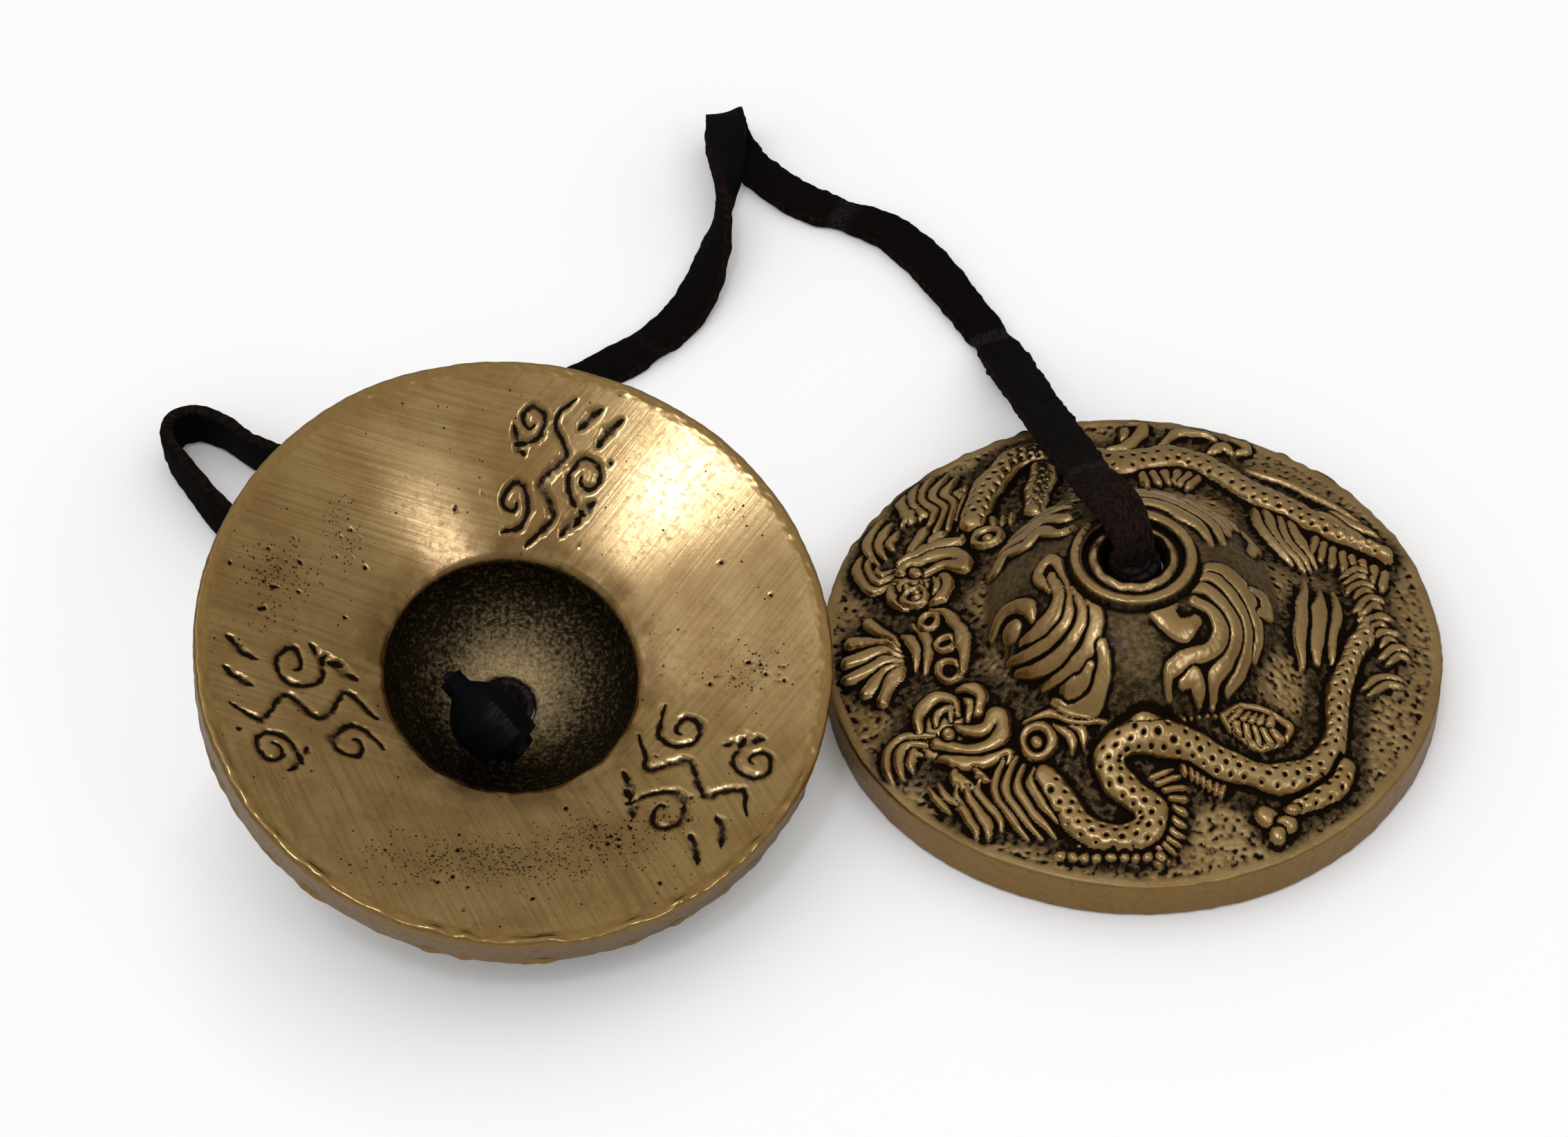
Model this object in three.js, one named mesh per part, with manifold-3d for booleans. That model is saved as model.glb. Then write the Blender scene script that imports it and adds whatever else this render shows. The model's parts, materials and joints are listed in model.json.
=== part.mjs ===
// Finger cymbals: two cast brass cymbals joined by one knotted leather strap, laid out on a table.
// Units are millimetres, +Z is up, and the table is the plane z = 0.
// The right cymbal lies on its rim, dome up. The left one lies on its dome, face up, with the strap
// running out from under it. The layout below is written from the right cymbal's centre, and the whole
// group is moved at the end so that its origin is the middle of its footprint.

import * as THREE from 'three';
import { mergeVertices } from 'three/addons/utils/BufferGeometryUtils.js';
import Module from 'manifold-3d';

const wasm = await Module();
wasm.setup();

// Cymbal
const RIM_RADIUS = 32.5;
const RIM_HEIGHT = 4.9;
const RIM_BEVEL = 0.25;
const RIM_FLAT = 1.3;
const DOME_RADIUS = 15.4;
const DOME_FOOT = 10.2;
const RING_RADIUS = 6.5;
const RING_TOP = 18.4;
const HOLE_RADIUS = 3.15;
const CUP_RADIUS = 13.1;
const CUP_EDGE = 7.6;
const CUP_CEILING = 15.6;
const CYMBAL_SIDES = 40;

// Strap
const STRAP_WIDTH = 5.3;
const STRAP_THICKNESS = 1.5;
const TABLE_GAP = 0.2;
const CREASE_GAP = 0.6;
const CREASE_TAPER = 0.9;
const CREASE_THICKNESS = 0.4;
const STEP = 1.6;

// Knot: a collar that sits on the hole, and the rolled cone beside it, whose wide end is at CONE_START, away
// from the hole and up from the collar's seat
const COLLAR_RADIUS = 4.3;
const CONE_START = new THREE.Vector3(-2.7, -4.1, -4.1);
const CONE_LENGTH = 7.6;
const CONE_RADIUS = 3.75;
const CONE_TAIL_RADIUS = 1.4;
const CONE_LEAN = 63;
const KNOT_SIDES = 24;
const SEAT_GAP = 0.3;

// Where the strap's first crease is above the rim plane, just outside the hole
const MOUTH_HEIGHT = RING_TOP + 0.7;

// Left cymbal: the centre of its open face, and how far the face leans, towards which side
const LEFT_FACE_CENTRE = new THREE.Vector3(-63.3, -7.4, 19.7);
const LEFT_LEAN = 19;
const LEFT_LEAN_TOWARDS = -57;

const BRASS = { color: 0xb08d4a, roughness: 0.38, metalness: 1.0 };
const LEATHER = { color: 0x231a15, roughness: 0.82, metalness: 0.0 };

const radians = THREE.MathUtils.degToRad;
const UP = new THREE.Vector3(0, 0, 1);

function mesh(name, geometry, finish) {
  const made = new THREE.Mesh(geometry, new THREE.MeshStandardMaterial(finish));
  made.name = name;
  return made;
}

function point(radius, height) {
  return new THREE.Vector2(radius, height);
}

function spline(points, pieces) {
  return new THREE.SplineCurve(points).getPoints(pieces);
}

// A cymbal's section, from its rim over the flange and dome, down through the hole and back along the face
function cymbalSection() {
  const rimTop = point(RIM_RADIUS - RIM_BEVEL, RIM_HEIGHT);
  const flange = spline([
    rimTop,
    point(27, 5.9),
    point(20, 8.0),
    point(DOME_RADIUS, DOME_FOOT),
  ], 5);
  const dome = spline([
    point(DOME_RADIUS, DOME_FOOT),
    point(13.9, 12.6),
    point(11.2, 15.3),
    point(8.6, 16.8),
    point(RING_RADIUS, 17.5),
  ], 7);
  const ring = [
    point(RING_RADIUS - 0.2, RING_TOP - 0.15),
    point(RING_RADIUS - 0.5, RING_TOP),
    point(5.5, RING_TOP),
    point(5.0, 17.7),
    point(4.4, 18.0),
    point(HOLE_RADIUS + 0.4, 18.0),
    point(HOLE_RADIUS, 17.6),
    point(HOLE_RADIUS, CUP_CEILING),
  ];
  const cup = spline([
    point(HOLE_RADIUS, CUP_CEILING),
    point(7.2, 14.9),
    point(11.0, 12.3),
    point(12.8, 9.4),
    point(CUP_RADIUS, CUP_EDGE),
  ], 7);
  const face = spline([
    point(CUP_RADIUS, CUP_EDGE),
    point(17, 5.8),
    point(24, 2.9),
    point(RIM_RADIUS - RIM_FLAT, 0),
  ], 5);
  return [
    point(RIM_RADIUS - RIM_BEVEL, 0),
    point(RIM_RADIUS, RIM_BEVEL),
    point(RIM_RADIUS, RIM_HEIGHT - RIM_BEVEL),
    ...flange,
    ...dome.slice(1),
    ...ring,
    ...cup.slice(1),
    ...face.slice(1),
    point(RIM_RADIUS - RIM_BEVEL, 0),
  ];
}

// Turns a section about the Z axis
function turned(section, sides) {
  const geometry = new THREE.LatheGeometry(section, sides);
  geometry.rotateX(Math.PI / 2);
  return geometry;
}

function solidOf(geometry) {
  const bare = geometry.clone();
  bare.deleteAttribute('normal');
  bare.deleteAttribute('uv');
  const merged = mergeVertices(bare);
  return new wasm.Manifold(new wasm.Mesh({
    numProp: 3,
    vertProperties: new Float32Array(merged.attributes.position.array),
    triVerts: new Uint32Array(merged.index.array),
  }));
}

function geometryOf(solid) {
  const { vertProperties, triVerts } = solid.getMesh();
  const geometry = new THREE.BufferGeometry();
  geometry.setAttribute('position', new THREE.BufferAttribute(vertProperties, 3));
  geometry.setIndex(new THREE.BufferAttribute(triVerts, 1));
  geometry.computeVertexNormals();
  return geometry;
}

// The leather end below the dome: a collar that can't pass the hole, a rolled cone that lies over to one
// side, and the throat, the flat stretch of strap that goes up through the hole. leanTowards and throatTurn
// are angles about the hole.
function knotGeometry(leanTowards, throatTurn) {
  const seat = CUP_CEILING - SEAT_GAP;
  const collar = turned([
    point(0, seat - 3.2),
    point(3.4, seat - 3.2),
    point(COLLAR_RADIUS, seat - 1.6),
    point(3.9, seat - 0.2),
    point(3.4, seat),
    point(0, seat),
  ], KNOT_SIDES);
  const cone = turned([
    point(0, -CONE_LENGTH),
    point(CONE_TAIL_RADIUS, -CONE_LENGTH),
    point(1.9, -5.6),
    point(3.1, -3.0),
    point(CONE_RADIUS, -0.8),
    point(3.3, 0.5),
    point(0, 1.0),
  ], KNOT_SIDES);
  cone.rotateX(radians(CONE_LEAN));
  cone.rotateZ(radians(-90));
  cone.translate(CONE_START.x, CONE_START.y, seat + CONE_START.z);
  cone.rotateZ(radians(leanTowards));
  const throatTop = MOUTH_HEIGHT - CREASE_GAP / 2;
  const throatBottom = seat - 1;
  const throat = new THREE.BoxGeometry(STRAP_WIDTH, STRAP_THICKNESS, throatTop - throatBottom, 1, 1, 4);
  throat.translate(0, 0, (throatTop + throatBottom) / 2);
  taperEnd(throat, throatTop);
  throat.rotateZ(radians(throatTurn));
  return geometryOf(solidOf(collar).add(solidOf(cone)).add(solidOf(throat)));
}

// Thins a box's thickness towards its top end, as leather is where it bends
function taperEnd(box, top) {
  const place = box.attributes.position;
  for (let i = 0; i < place.count; i += 1) {
    const fromEnd = top - place.getZ(i);
    place.setY(i, place.getY(i) * thinning(fromEnd));
  }
}

function thinning(fromEnd) {
  const end = CREASE_THICKNESS / STRAP_THICKNESS;
  return Math.min(1, end + (1 - end) * fromEnd / CREASE_TAPER);
}

// A station on the strap's path: where its middle runs, and its roll about the path. Roll 0 is flat with
// the right-hand edge level, 90 has that edge straight up.
function station(x, y, z, roll = 0) {
  return { at: new THREE.Vector3(x, y, z), roll };
}

// A station where the strap lies on the table, at the height its roll gives it
function laid(x, y, roll = 0) {
  const upright = Math.abs(Math.sin(radians(roll))) * STRAP_WIDTH / 2;
  const level = Math.abs(Math.cos(radians(roll))) * STRAP_THICKNESS / 2;
  return station(x, y, upright + level + TABLE_GAP, roll);
}

// The direction across the strap at one station of a leg
function acrossAt(leg, index) {
  const before = leg[Math.max(index - 1, 0)].at;
  const after = leg[Math.min(index + 1, leg.length - 1)].at;
  const run = after.clone().sub(before);
  const level = new THREE.Vector3(run.y, -run.x, 0).normalize();
  const upright = new THREE.Vector3().crossVectors(level, run).normalize();
  const roll = radians(leg[index].roll);
  return level.multiplyScalar(Math.cos(roll)).addScaledVector(upright, Math.sin(roll));
}

// One length of strap, between two stations of a leg: a box bent along the path, thinned at its ends and
// stopping half a crease gap short of each
function strapLength(leg, from, to) {
  const path = new THREE.CatmullRomCurve3(leg.map((stop) => stop.at), false, 'centripetal');
  const sides = new THREE.CatmullRomCurve3(leg.map((stop, i) => acrossAt(leg, i)), false, 'catmullrom');
  const last = leg.length - 1;
  const length = new THREE.CatmullRomCurve3(leg.slice(from, to + 1).map((stop) => stop.at)).getLength();
  const segments = Math.max(4, Math.round(length / STEP));
  const box = new THREE.BoxGeometry(STRAP_WIDTH, STRAP_THICKNESS, length, 1, 1, segments);
  const gap = CREASE_GAP / 2;
  const place = box.attributes.position;
  for (let i = 0; i < place.count; i += 1) {
    const share = place.getZ(i) / length + 0.5;
    const along = gap + share * (length - 2 * gap);
    const t = (from + (to - from) * along / length) / last;
    const ahead = path.getTangent(t);
    const across = sides.getPoint(t);
    across.addScaledVector(ahead, -across.dot(ahead)).normalize();
    const through = new THREE.Vector3().crossVectors(ahead, across);
    const end = Math.min(along, length - along) - gap;
    const bent = path.getPoint(t)
      .addScaledVector(across, place.getX(i))
      .addScaledVector(through, place.getY(i) * thinning(end));
    place.setXYZ(i, bent.x, bent.y, bent.z);
  }
  box.computeVertexNormals();
  return box;
}

// Right leg of the strap: out of the right cymbal's hole, over its dome to the table, round to the crown
const rightLeg = [
  station(0, 0, MOUTH_HEIGHT),
  station(-0.3, 1.0, 20.7),
  station(-1.1, 3.6, 21.5),
  station(-3.5, 11.4, 18.9),
  station(-6.6, 30.0, 9.9),
  station(-10.0, 49.7, 1.15),
  laid(-12.7, 56.0),
  laid(-16.2, 63.4),
  laid(-20.6, 69.6),
  laid(-25.8, 73.2),
  laid(-29.6, 75.4),
  laid(-33.4, 79.0),
  laid(-37.2, 84.2),
  laid(-38.8, 88.6),
];
const RIGHT = { mouth: 0, innerCrease: 3, outerCrease: 5, kink: 9, crown: 13 };

// The left cymbal's frame: its rim plane leans, and its dome points down
const leftFrame = new THREE.Object3D();
leftFrame.position.copy(LEFT_FACE_CENTRE);
const leftNormal = new THREE.Vector3(
  Math.sin(radians(LEFT_LEAN)) * Math.cos(radians(LEFT_LEAN_TOWARDS)),
  Math.sin(radians(LEFT_LEAN)) * Math.sin(radians(LEFT_LEAN_TOWARDS)),
  Math.cos(radians(LEFT_LEAN)),
);
leftFrame.quaternion.setFromUnitVectors(UP, leftNormal.clone().negate());
const leftMouth = LEFT_FACE_CENTRE.clone().addScaledVector(leftNormal, -MOUTH_HEIGHT);

// Left leg: back from the fold above the right leg, over on its edge, flat on the table, on edge round a
// loop, and in under the left cymbal's dome to its hole
const leftLeg = [
  station(-39.5, 88.6, 4.2),
  station(-39.7, 83.6, 4.2, 20),
  station(-40.3, 75.2, 3.2, 85),
  laid(-41.4, 69.0, 130),
  laid(-43.6, 61.6, 165),
  laid(-46.4, 56.8, 180),
  laid(-50.2, 53.0, 180),
  laid(-55.2, 49.6, 180),
  laid(-65.0, 44.0, 145),
  laid(-75.0, 38.8, 110),
  laid(-84.0, 35.4, 90),
  laid(-89.6, 35.4, 90),
  laid(-94.6, 37.8, 90),
  laid(-98.8, 41.8, 90),
  laid(-101.9, 43.4, 90),
  laid(-104.4, 42.4, 90),
  laid(-104.7, 39.6, 90),
  laid(-102.9, 35.8, 95),
  laid(-99.0, 29.6, 100),
  laid(-92.0, 20.5, 130),
  laid(-84.0, 12.5, 160),
  laid(-76.0, 5.9, 180),
  laid(-70.4, 1.2, 180),
  station(-67.7, -1.3, 1.1, 180),
  station(leftMouth.x, leftMouth.y, leftMouth.z, 180),
];
const LEFT = { crown: 0, twist: 2, crease: 6, loopStart: 11, loopEnd: 18, mouth: 24 };

const strap = {
  strap_right_riser: strapLength(rightLeg, RIGHT.mouth, RIGHT.innerCrease),
  strap_right_slope: strapLength(rightLeg, RIGHT.innerCrease, RIGHT.outerCrease),
  strap_right_run: strapLength(rightLeg, RIGHT.outerCrease, RIGHT.kink),
  strap_crown: strapLength(rightLeg, RIGHT.kink, RIGHT.crown),
  strap_left_flap: strapLength(leftLeg, LEFT.crown, LEFT.twist),
  strap_left_leg: strapLength(leftLeg, LEFT.twist, LEFT.crease),
  strap_left_run: strapLength(leftLeg, LEFT.crease, LEFT.loopStart),
  strap_left_loop: strapLength(leftLeg, LEFT.loopStart, LEFT.loopEnd),
  strap_left_neck: strapLength(leftLeg, LEFT.loopEnd, LEFT.mouth),
};

const layout = new THREE.Group();
for (const [name, geometry] of Object.entries(strap)) {
  layout.add(mesh(name, geometry, LEATHER));
}

// Each cymbal with its knot, in the cymbal's own frame: the rim is at z = 0 and the dome is above it
function cymbalSet(side, leanTowards, throatTurn) {
  const set = new THREE.Group();
  set.add(mesh(`${side}_cymbal`, turned(cymbalSection(), CYMBAL_SIDES), BRASS));
  set.add(mesh(`${side}_knot`, knotGeometry(leanTowards, throatTurn), LEATHER));
  return set;
}

// The angle about a cymbal's hole that turns the throat in line with the strap at its mouth
function throatTurn(across, quaternion) {
  const local = across.clone().applyQuaternion(quaternion.clone().invert());
  return THREE.MathUtils.radToDeg(Math.atan2(local.y, local.x));
}

const rightSet = cymbalSet('right', 200, throatTurn(acrossAt(rightLeg, RIGHT.mouth), new THREE.Quaternion()));
layout.add(rightSet);

const leftSet = cymbalSet('left', 291, throatTurn(acrossAt(leftLeg, LEFT.mouth), leftFrame.quaternion));
leftSet.position.copy(leftFrame.position);
leftSet.quaternion.copy(leftFrame.quaternion);
layout.add(leftSet);

// The origin is the middle of the footprint, on the table
layout.updateMatrixWorld(true);
const extent = new THREE.Box3().setFromObject(layout, true);
layout.position.set(
  -(extent.min.x + extent.max.x) / 2,
  -(extent.min.y + extent.max.y) / 2,
  -extent.min.z,
);

const fingerCymbals = new THREE.Group();
fingerCymbals.add(layout);

export default fingerCymbals;
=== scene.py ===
"""Finger cymbals: two cast brass cymbals on one knotted leather strap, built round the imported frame.

Lengths in this script are millimetres in the row frame. They become metres when a mesh is made.
"""

import json
import math

import bpy
import numpy as np
from mathutils import Matrix, Vector

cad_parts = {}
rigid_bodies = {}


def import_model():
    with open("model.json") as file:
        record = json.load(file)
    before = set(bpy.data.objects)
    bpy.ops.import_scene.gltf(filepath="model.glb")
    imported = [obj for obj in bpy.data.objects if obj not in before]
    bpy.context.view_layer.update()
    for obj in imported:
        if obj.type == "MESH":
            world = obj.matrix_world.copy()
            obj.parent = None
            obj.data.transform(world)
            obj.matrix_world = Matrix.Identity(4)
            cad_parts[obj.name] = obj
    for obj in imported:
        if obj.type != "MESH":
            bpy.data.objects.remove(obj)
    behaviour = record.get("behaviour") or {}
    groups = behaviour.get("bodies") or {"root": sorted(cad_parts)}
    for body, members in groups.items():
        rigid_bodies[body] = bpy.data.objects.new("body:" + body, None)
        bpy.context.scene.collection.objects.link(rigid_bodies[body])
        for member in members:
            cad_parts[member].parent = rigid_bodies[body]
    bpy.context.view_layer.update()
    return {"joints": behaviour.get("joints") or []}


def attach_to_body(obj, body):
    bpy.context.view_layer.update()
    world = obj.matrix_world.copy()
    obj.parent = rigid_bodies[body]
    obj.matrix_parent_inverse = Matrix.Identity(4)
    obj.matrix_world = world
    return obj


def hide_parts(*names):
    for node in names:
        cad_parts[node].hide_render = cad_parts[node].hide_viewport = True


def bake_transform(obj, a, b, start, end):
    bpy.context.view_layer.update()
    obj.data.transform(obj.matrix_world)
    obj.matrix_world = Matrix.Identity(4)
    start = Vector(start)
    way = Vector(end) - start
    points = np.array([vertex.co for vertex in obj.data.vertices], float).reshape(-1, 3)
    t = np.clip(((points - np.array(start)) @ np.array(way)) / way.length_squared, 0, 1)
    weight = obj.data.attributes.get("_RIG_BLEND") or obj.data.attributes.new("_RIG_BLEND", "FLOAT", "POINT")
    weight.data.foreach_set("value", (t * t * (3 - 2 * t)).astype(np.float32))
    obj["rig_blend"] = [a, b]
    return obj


MM = 0.001
SEED = 7

# Cymbal section, the same as the frame's
RIM_RADIUS = 32.5
RIM_HEIGHT = 4.9
RIM_BEVEL = 0.25
RIM_FLAT = 1.3
DOME_RADIUS = 15.4
RING_RADIUS = 6.5
RING_TOP = 18.4
HOLE_RADIUS = 3.15
CUP_RADIUS = 13.1
CUP_CEILING = 15.6
SPIN_DEPTH = 17.0

# Strap
STRAP_WIDTH = 5.3
CUT_WIDTH = 4.85
STRAP_THICKNESS = 1.5
STRAP_CORNER = 0.32
STRAP_PINCH = 0.16
WRINKLE_SPACING = 1.15
TABLE_GAP = 0.2
MOUTH = 0.7
MOUTH_DEPTHS = (4.2, 1.8)
RING_SPACING = 0.22

# The strokes: how much wider than drawn the raised ones are, and how far the lines waver on each side
STROKE_SWELL = 1.15
RELIEF_WAVER = 0.2
ENGRAVING_WAVER = 0.14

# Where the relief and the engraving die out towards the rim
RELIEF_END = (31.2, 32.0)
ENGRAVING_END = (30.6, 31.2)

# The ring round the hole, and the lip inside it
RING_CREST = 5.95
RING_FOOT = 4.9
LIP_CREST = 4.2
LIP_SCALLOPS = 11

# Hand filing: how far the rim is out of round and out of level, where the burr is and how high it stands
OUT_OF_ROUND = 0.10
RIM_RIPPLE = 0.035
OUT_OF_LEVEL = 0.10
BURR_BEARING = math.radians(92)
BURR_HEIGHT = 0.24
CASTING_GRAIN = 0.02

# Mesh fineness of a cymbal
COLUMNS = 840
OUTSIDE_STEP = 0.19
FACE_STEP = 0.28
CUP_STEP = 0.45

# Camera: where it looks, from the right cymbal's centre, and from how far and how high
CAMERA_TARGET = Vector((-35.96, 17.72, 0))
CAMERA_DISTANCE = 380.9
CAMERA_PITCH = math.radians(48.16)
CAMERA_ROLL = math.radians(-3.79)
CAMERA_LENS = 79.37

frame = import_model()
joints = {joint["name"]: joint for joint in frame["joints"]}
random = np.random.default_rng(SEED)


def joint_point(name):
    return Vector(joints[name]["pos_m"]) / MM


def joint_axis(name):
    return Vector(joints[name]["axis"]).normalized()


RIGHT_CENTRE = Vector((*joint_point("right_cymbal_spin").xy, 0))
LEFT_NORMAL = joint_axis("left_cymbal_spin")
LEFT_FACE_CENTRE = joint_point("left_cymbal_spin") + SPIN_DEPTH * LEFT_NORMAL


def left_place():
    """The left cymbal's own frame in the row frame: its x runs to the right and its z towards its dome."""
    face_x = (Vector((1, 0, 0)) - LEFT_NORMAL.x * LEFT_NORMAL).normalized()
    face_y = LEFT_NORMAL.cross(face_x)
    turned = Matrix((face_x, -face_y, -LEFT_NORMAL)).transposed().to_4x4()
    return Matrix.Translation(LEFT_FACE_CENTRE) @ turned


PLACES = {"right": Matrix.Translation(RIGHT_CENTRE), "left": left_place()}


# ---------------------------------------------------------------- lines and maps

def hermite(knots, values, at):
    """Cubic interpolation through values at uneven knots."""
    slopes = np.gradient(values, knots, axis=0)
    i = np.clip(np.searchsorted(knots, at, side="right") - 1, 0, len(knots) - 2)
    span = (knots[i + 1] - knots[i])[:, None]
    t = ((at - knots[i])[:, None]) / span
    return (
        (2 * t ** 3 - 3 * t ** 2 + 1) * values[i]
        + (t ** 3 - 2 * t ** 2 + t) * span * slopes[i]
        + (3 * t ** 2 - 2 * t ** 3) * values[i + 1]
        + (t ** 3 - t ** 2) * span * slopes[i + 1]
    )


def smooth(points, step=0.3):
    """A smooth line through the points, with its own points about step apart."""
    stops = np.array(points, float)
    gaps = np.linalg.norm(np.diff(stops, axis=0), axis=1)
    counts = [max(2, math.ceil(gap / step)) for gap in gaps]
    places = [k + np.arange(count) / count for k, count in enumerate(counts)]
    return hermite(np.arange(len(stops)), stops, np.concatenate([*places, [len(gaps)]]))


def shifted(points, heading, distance):
    """Points moved to the left of their headings, for a distance above 0."""
    left = np.stack([-heading[:, 1], heading[:, 0]], 1)
    left /= np.linalg.norm(left, axis=1, keepdims=True) + 1e-9
    return points + left * np.reshape(distance, (-1, 1))


def travelled(line):
    """How far along a line each of its points lies."""
    return np.concatenate([[0], np.cumsum(np.linalg.norm(np.diff(line, axis=0), axis=1))])


def read_at(places, stops, values):
    """Rows of values, read at places between the stops that they belong to."""
    return np.stack([np.interp(places, stops, column) for column in values.T], 1)


def along(line, spacing, margin=0.0):
    """Points at equal spacing along a line, with the line's direction at each."""
    length = travelled(line)
    places = np.arange(margin, length[-1] - margin, spacing)
    heading = read_at(places, length, np.gradient(line, axis=0))
    heading /= np.linalg.norm(heading, axis=1, keepdims=True) + 1e-9
    return read_at(places, length, line), heading


def blurred(values, reach, rounds=2, wrap=False):
    """A map or a row of numbers, softened by a moving average that reaches this many cells each way."""
    window = 2 * reach + 1
    for _ in range(rounds):
        for axis in range(values.ndim):
            pad = [(reach + 1, reach) if k == axis else (0, 0) for k in range(values.ndim)]
            total = np.cumsum(np.pad(values, pad, mode="wrap" if wrap else "edge"), axis=axis)
            upper = np.take(total, range(window, total.shape[axis]), axis=axis)
            lower = np.take(total, range(total.shape[axis] - window), axis=axis)
            values = (upper - lower) / window
    return values


def unevenness(shape, reach):
    """Random numbers with a spread of 1, softened over this many cells."""
    values = blurred(random.standard_normal(shape), reach)
    return values / values.std()


def fade(value, start, end):
    """0 at start, 1 at end, and smooth between them."""
    t = np.clip((value - start) / (end - start), 0, 1)
    return t * t * (3 - 2 * t)


class Relief:
    """A square map of heights over one side of a cymbal, that strokes are raised on or cut into."""

    STEP = 0.09
    HALF = 33.0

    def __init__(self):
        self.cells = int(2 * self.HALF / self.STEP)
        self.axis = (np.arange(self.cells) + 0.5) * self.STEP - self.HALF
        self.height = np.zeros((self.cells, self.cells))
        self.x, self.y = np.meshgrid(self.axis, self.axis)
        self.radius = np.hypot(self.x, self.y)

    def near(self, line, reach):
        """The window of the map round a line, with each cell's distance to it and place along it."""
        low = np.floor((line.min(0) - reach + self.HALF) / self.STEP).astype(int)
        high = np.ceil((line.max(0) + reach + self.HALF) / self.STEP).astype(int)
        low, high = np.clip(low, 0, self.cells - 1), np.clip(high, 1, self.cells)
        window = (slice(low[1], high[1]), slice(low[0], high[0]))
        x, y = self.x[window], self.y[window]
        nearest = np.full(x.shape, np.inf)
        place = np.zeros(x.shape)
        for i, (start, end) in enumerate(zip(line, line[1:])):
            run = end - start
            share = ((x - start[0]) * run[0] + (y - start[1]) * run[1]) / (run @ run + 1e-9)
            share = np.clip(share, 0, 1)
            distance = np.hypot(x - start[0] - share * run[0], y - start[1] - share * run[1])
            closer = distance < nearest
            nearest[closer] = distance[closer]
            place[closer] = (i + share[closer]) / (len(line) - 1)
        return window, nearest, place

    def raise_line(self, line, width, height, ends, moat, flat):
        """A rounded ridge along a line, flatter on top for a lower flat, with cleared ground beside it."""
        window, distance, place = self.near(line, width / 2 + moat)
        half = STROKE_SWELL * width / 2 * np.interp(place, [0, 0.3, 0.7, 1], [ends[0], 1, 1, ends[1]])
        rise = height * np.interp(place, [0, 0.15, 0.85, 1], [ends[0] ** 0.5, 1, 1, ends[1] ** 0.5])
        inside = np.clip(1 - (distance / half) ** 2, 0, 1) ** flat
        ground = self.height[window]
        beside = np.clip((distance - half) / moat, 0, 1)
        self.height[window] = np.where(
            distance < half, rise * inside + 0.25 * np.maximum(ground, 0), ground * beside
        )

    def ridge(self, points, width=1.1, height=0.7, ends=(0.45, 0.45), moat=0.22, flat=0.28):
        """One raised stroke. Its ends are these shares of its width."""
        self.raise_line(smooth(points), width, height, ends, moat, flat)

    def strands(self, points, count, spacing, width=1.0, height=0.65, ends=(0.4, 0.3), fan=0.0):
        """Ridges side by side. With a fan above 0 they spread towards their ends."""
        spine = smooth(points)
        spread = 1 + fan * np.linspace(0, 1, len(spine))
        for k in range(count):
            offset = (k - (count - 1) / 2) * spacing
            line = shifted(spine, np.gradient(spine, axis=0), offset * spread)
            cut = random.integers(0, max(1, len(line) // 6), 2)
            line = line[cut[0]:len(line) - cut[1]]
            self.raise_line(line, width, height * random.uniform(0.85, 1.1), ends, 0.2, 0.28)

    def dot(self, x, y, radius, height):
        """A round boss, or a round pit if height is below 0."""
        centre = np.array([[x, y], [x + 0.01, y]])
        window, distance, _ = self.near(centre, radius * 1.6)
        if height > 0:
            ground = self.height[window] * np.clip((distance - radius) / 0.25, 0, 1)
            dome = height * np.clip(1 - (distance / radius) ** 2, 0, 1) ** 0.5
            self.height[window] = np.maximum(ground, dome)
        else:
            self.height[window] += height * np.exp(-(distance / radius) ** 4)

    def waver(self, amount, reach):
        """Shifts the strokes a little here and there, as lines cut by hand are never even."""
        shift_x, shift_y = (amount * unevenness(self.height.shape, reach) for _ in range(2))
        self.height = self.sampled(self.x + shift_x, self.y + shift_y)

    def ring(self, x, y, radius, width=0.7, height=0.6):
        """A raised circle."""
        turn = np.linspace(0, 2 * math.pi, 17)
        circle = np.stack([x + radius * np.cos(turn), y + radius * np.sin(turn)], 1)
        self.raise_line(circle, width, height, (1, 1), 0.25, 0.45)

    def comb(self, points, length, spacing=0.95, width=0.7, height=0.6, lean=0.35):
        """Short ribs that stand off a line on its left, or on its right if length is below 0."""
        spots, heading = along(smooth(points), spacing, 0.4)
        for (x, y), (run_x, run_y) in zip(spots, heading):
            tip_x = x - run_y * length + run_x * abs(length) * lean
            tip_y = y + run_x * length + run_y * abs(length) * lean
            self.raise_line(np.array([[x, y], [tip_x, tip_y]]), width, height, (1, 0.5), 0.2, 0.4)

    def sampled(self, x, y, values=None):
        """The map, or another map of its size, at these places."""
        values = self.height if values is None else values
        column = np.clip((x + self.HALF) / self.STEP - 0.5, 0, self.cells - 1.001)
        row = np.clip((y + self.HALF) / self.STEP - 0.5, 0, self.cells - 1.001)
        i, j = column.astype(int), row.astype(int)
        u, v = column - i, row - j
        lower = values[j, i] * (1 - u) + values[j, i + 1] * u
        upper = values[j + 1, i] * (1 - u) + values[j + 1, i + 1] * u
        return lower * (1 - v) + upper * v

    def recess(self, reach=0.6):
        """How far each place lies below its surroundings."""
        return blurred(self.height, int(reach / self.STEP)) - self.height


# ---------------------------------------------------------------- the castings' relief

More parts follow.
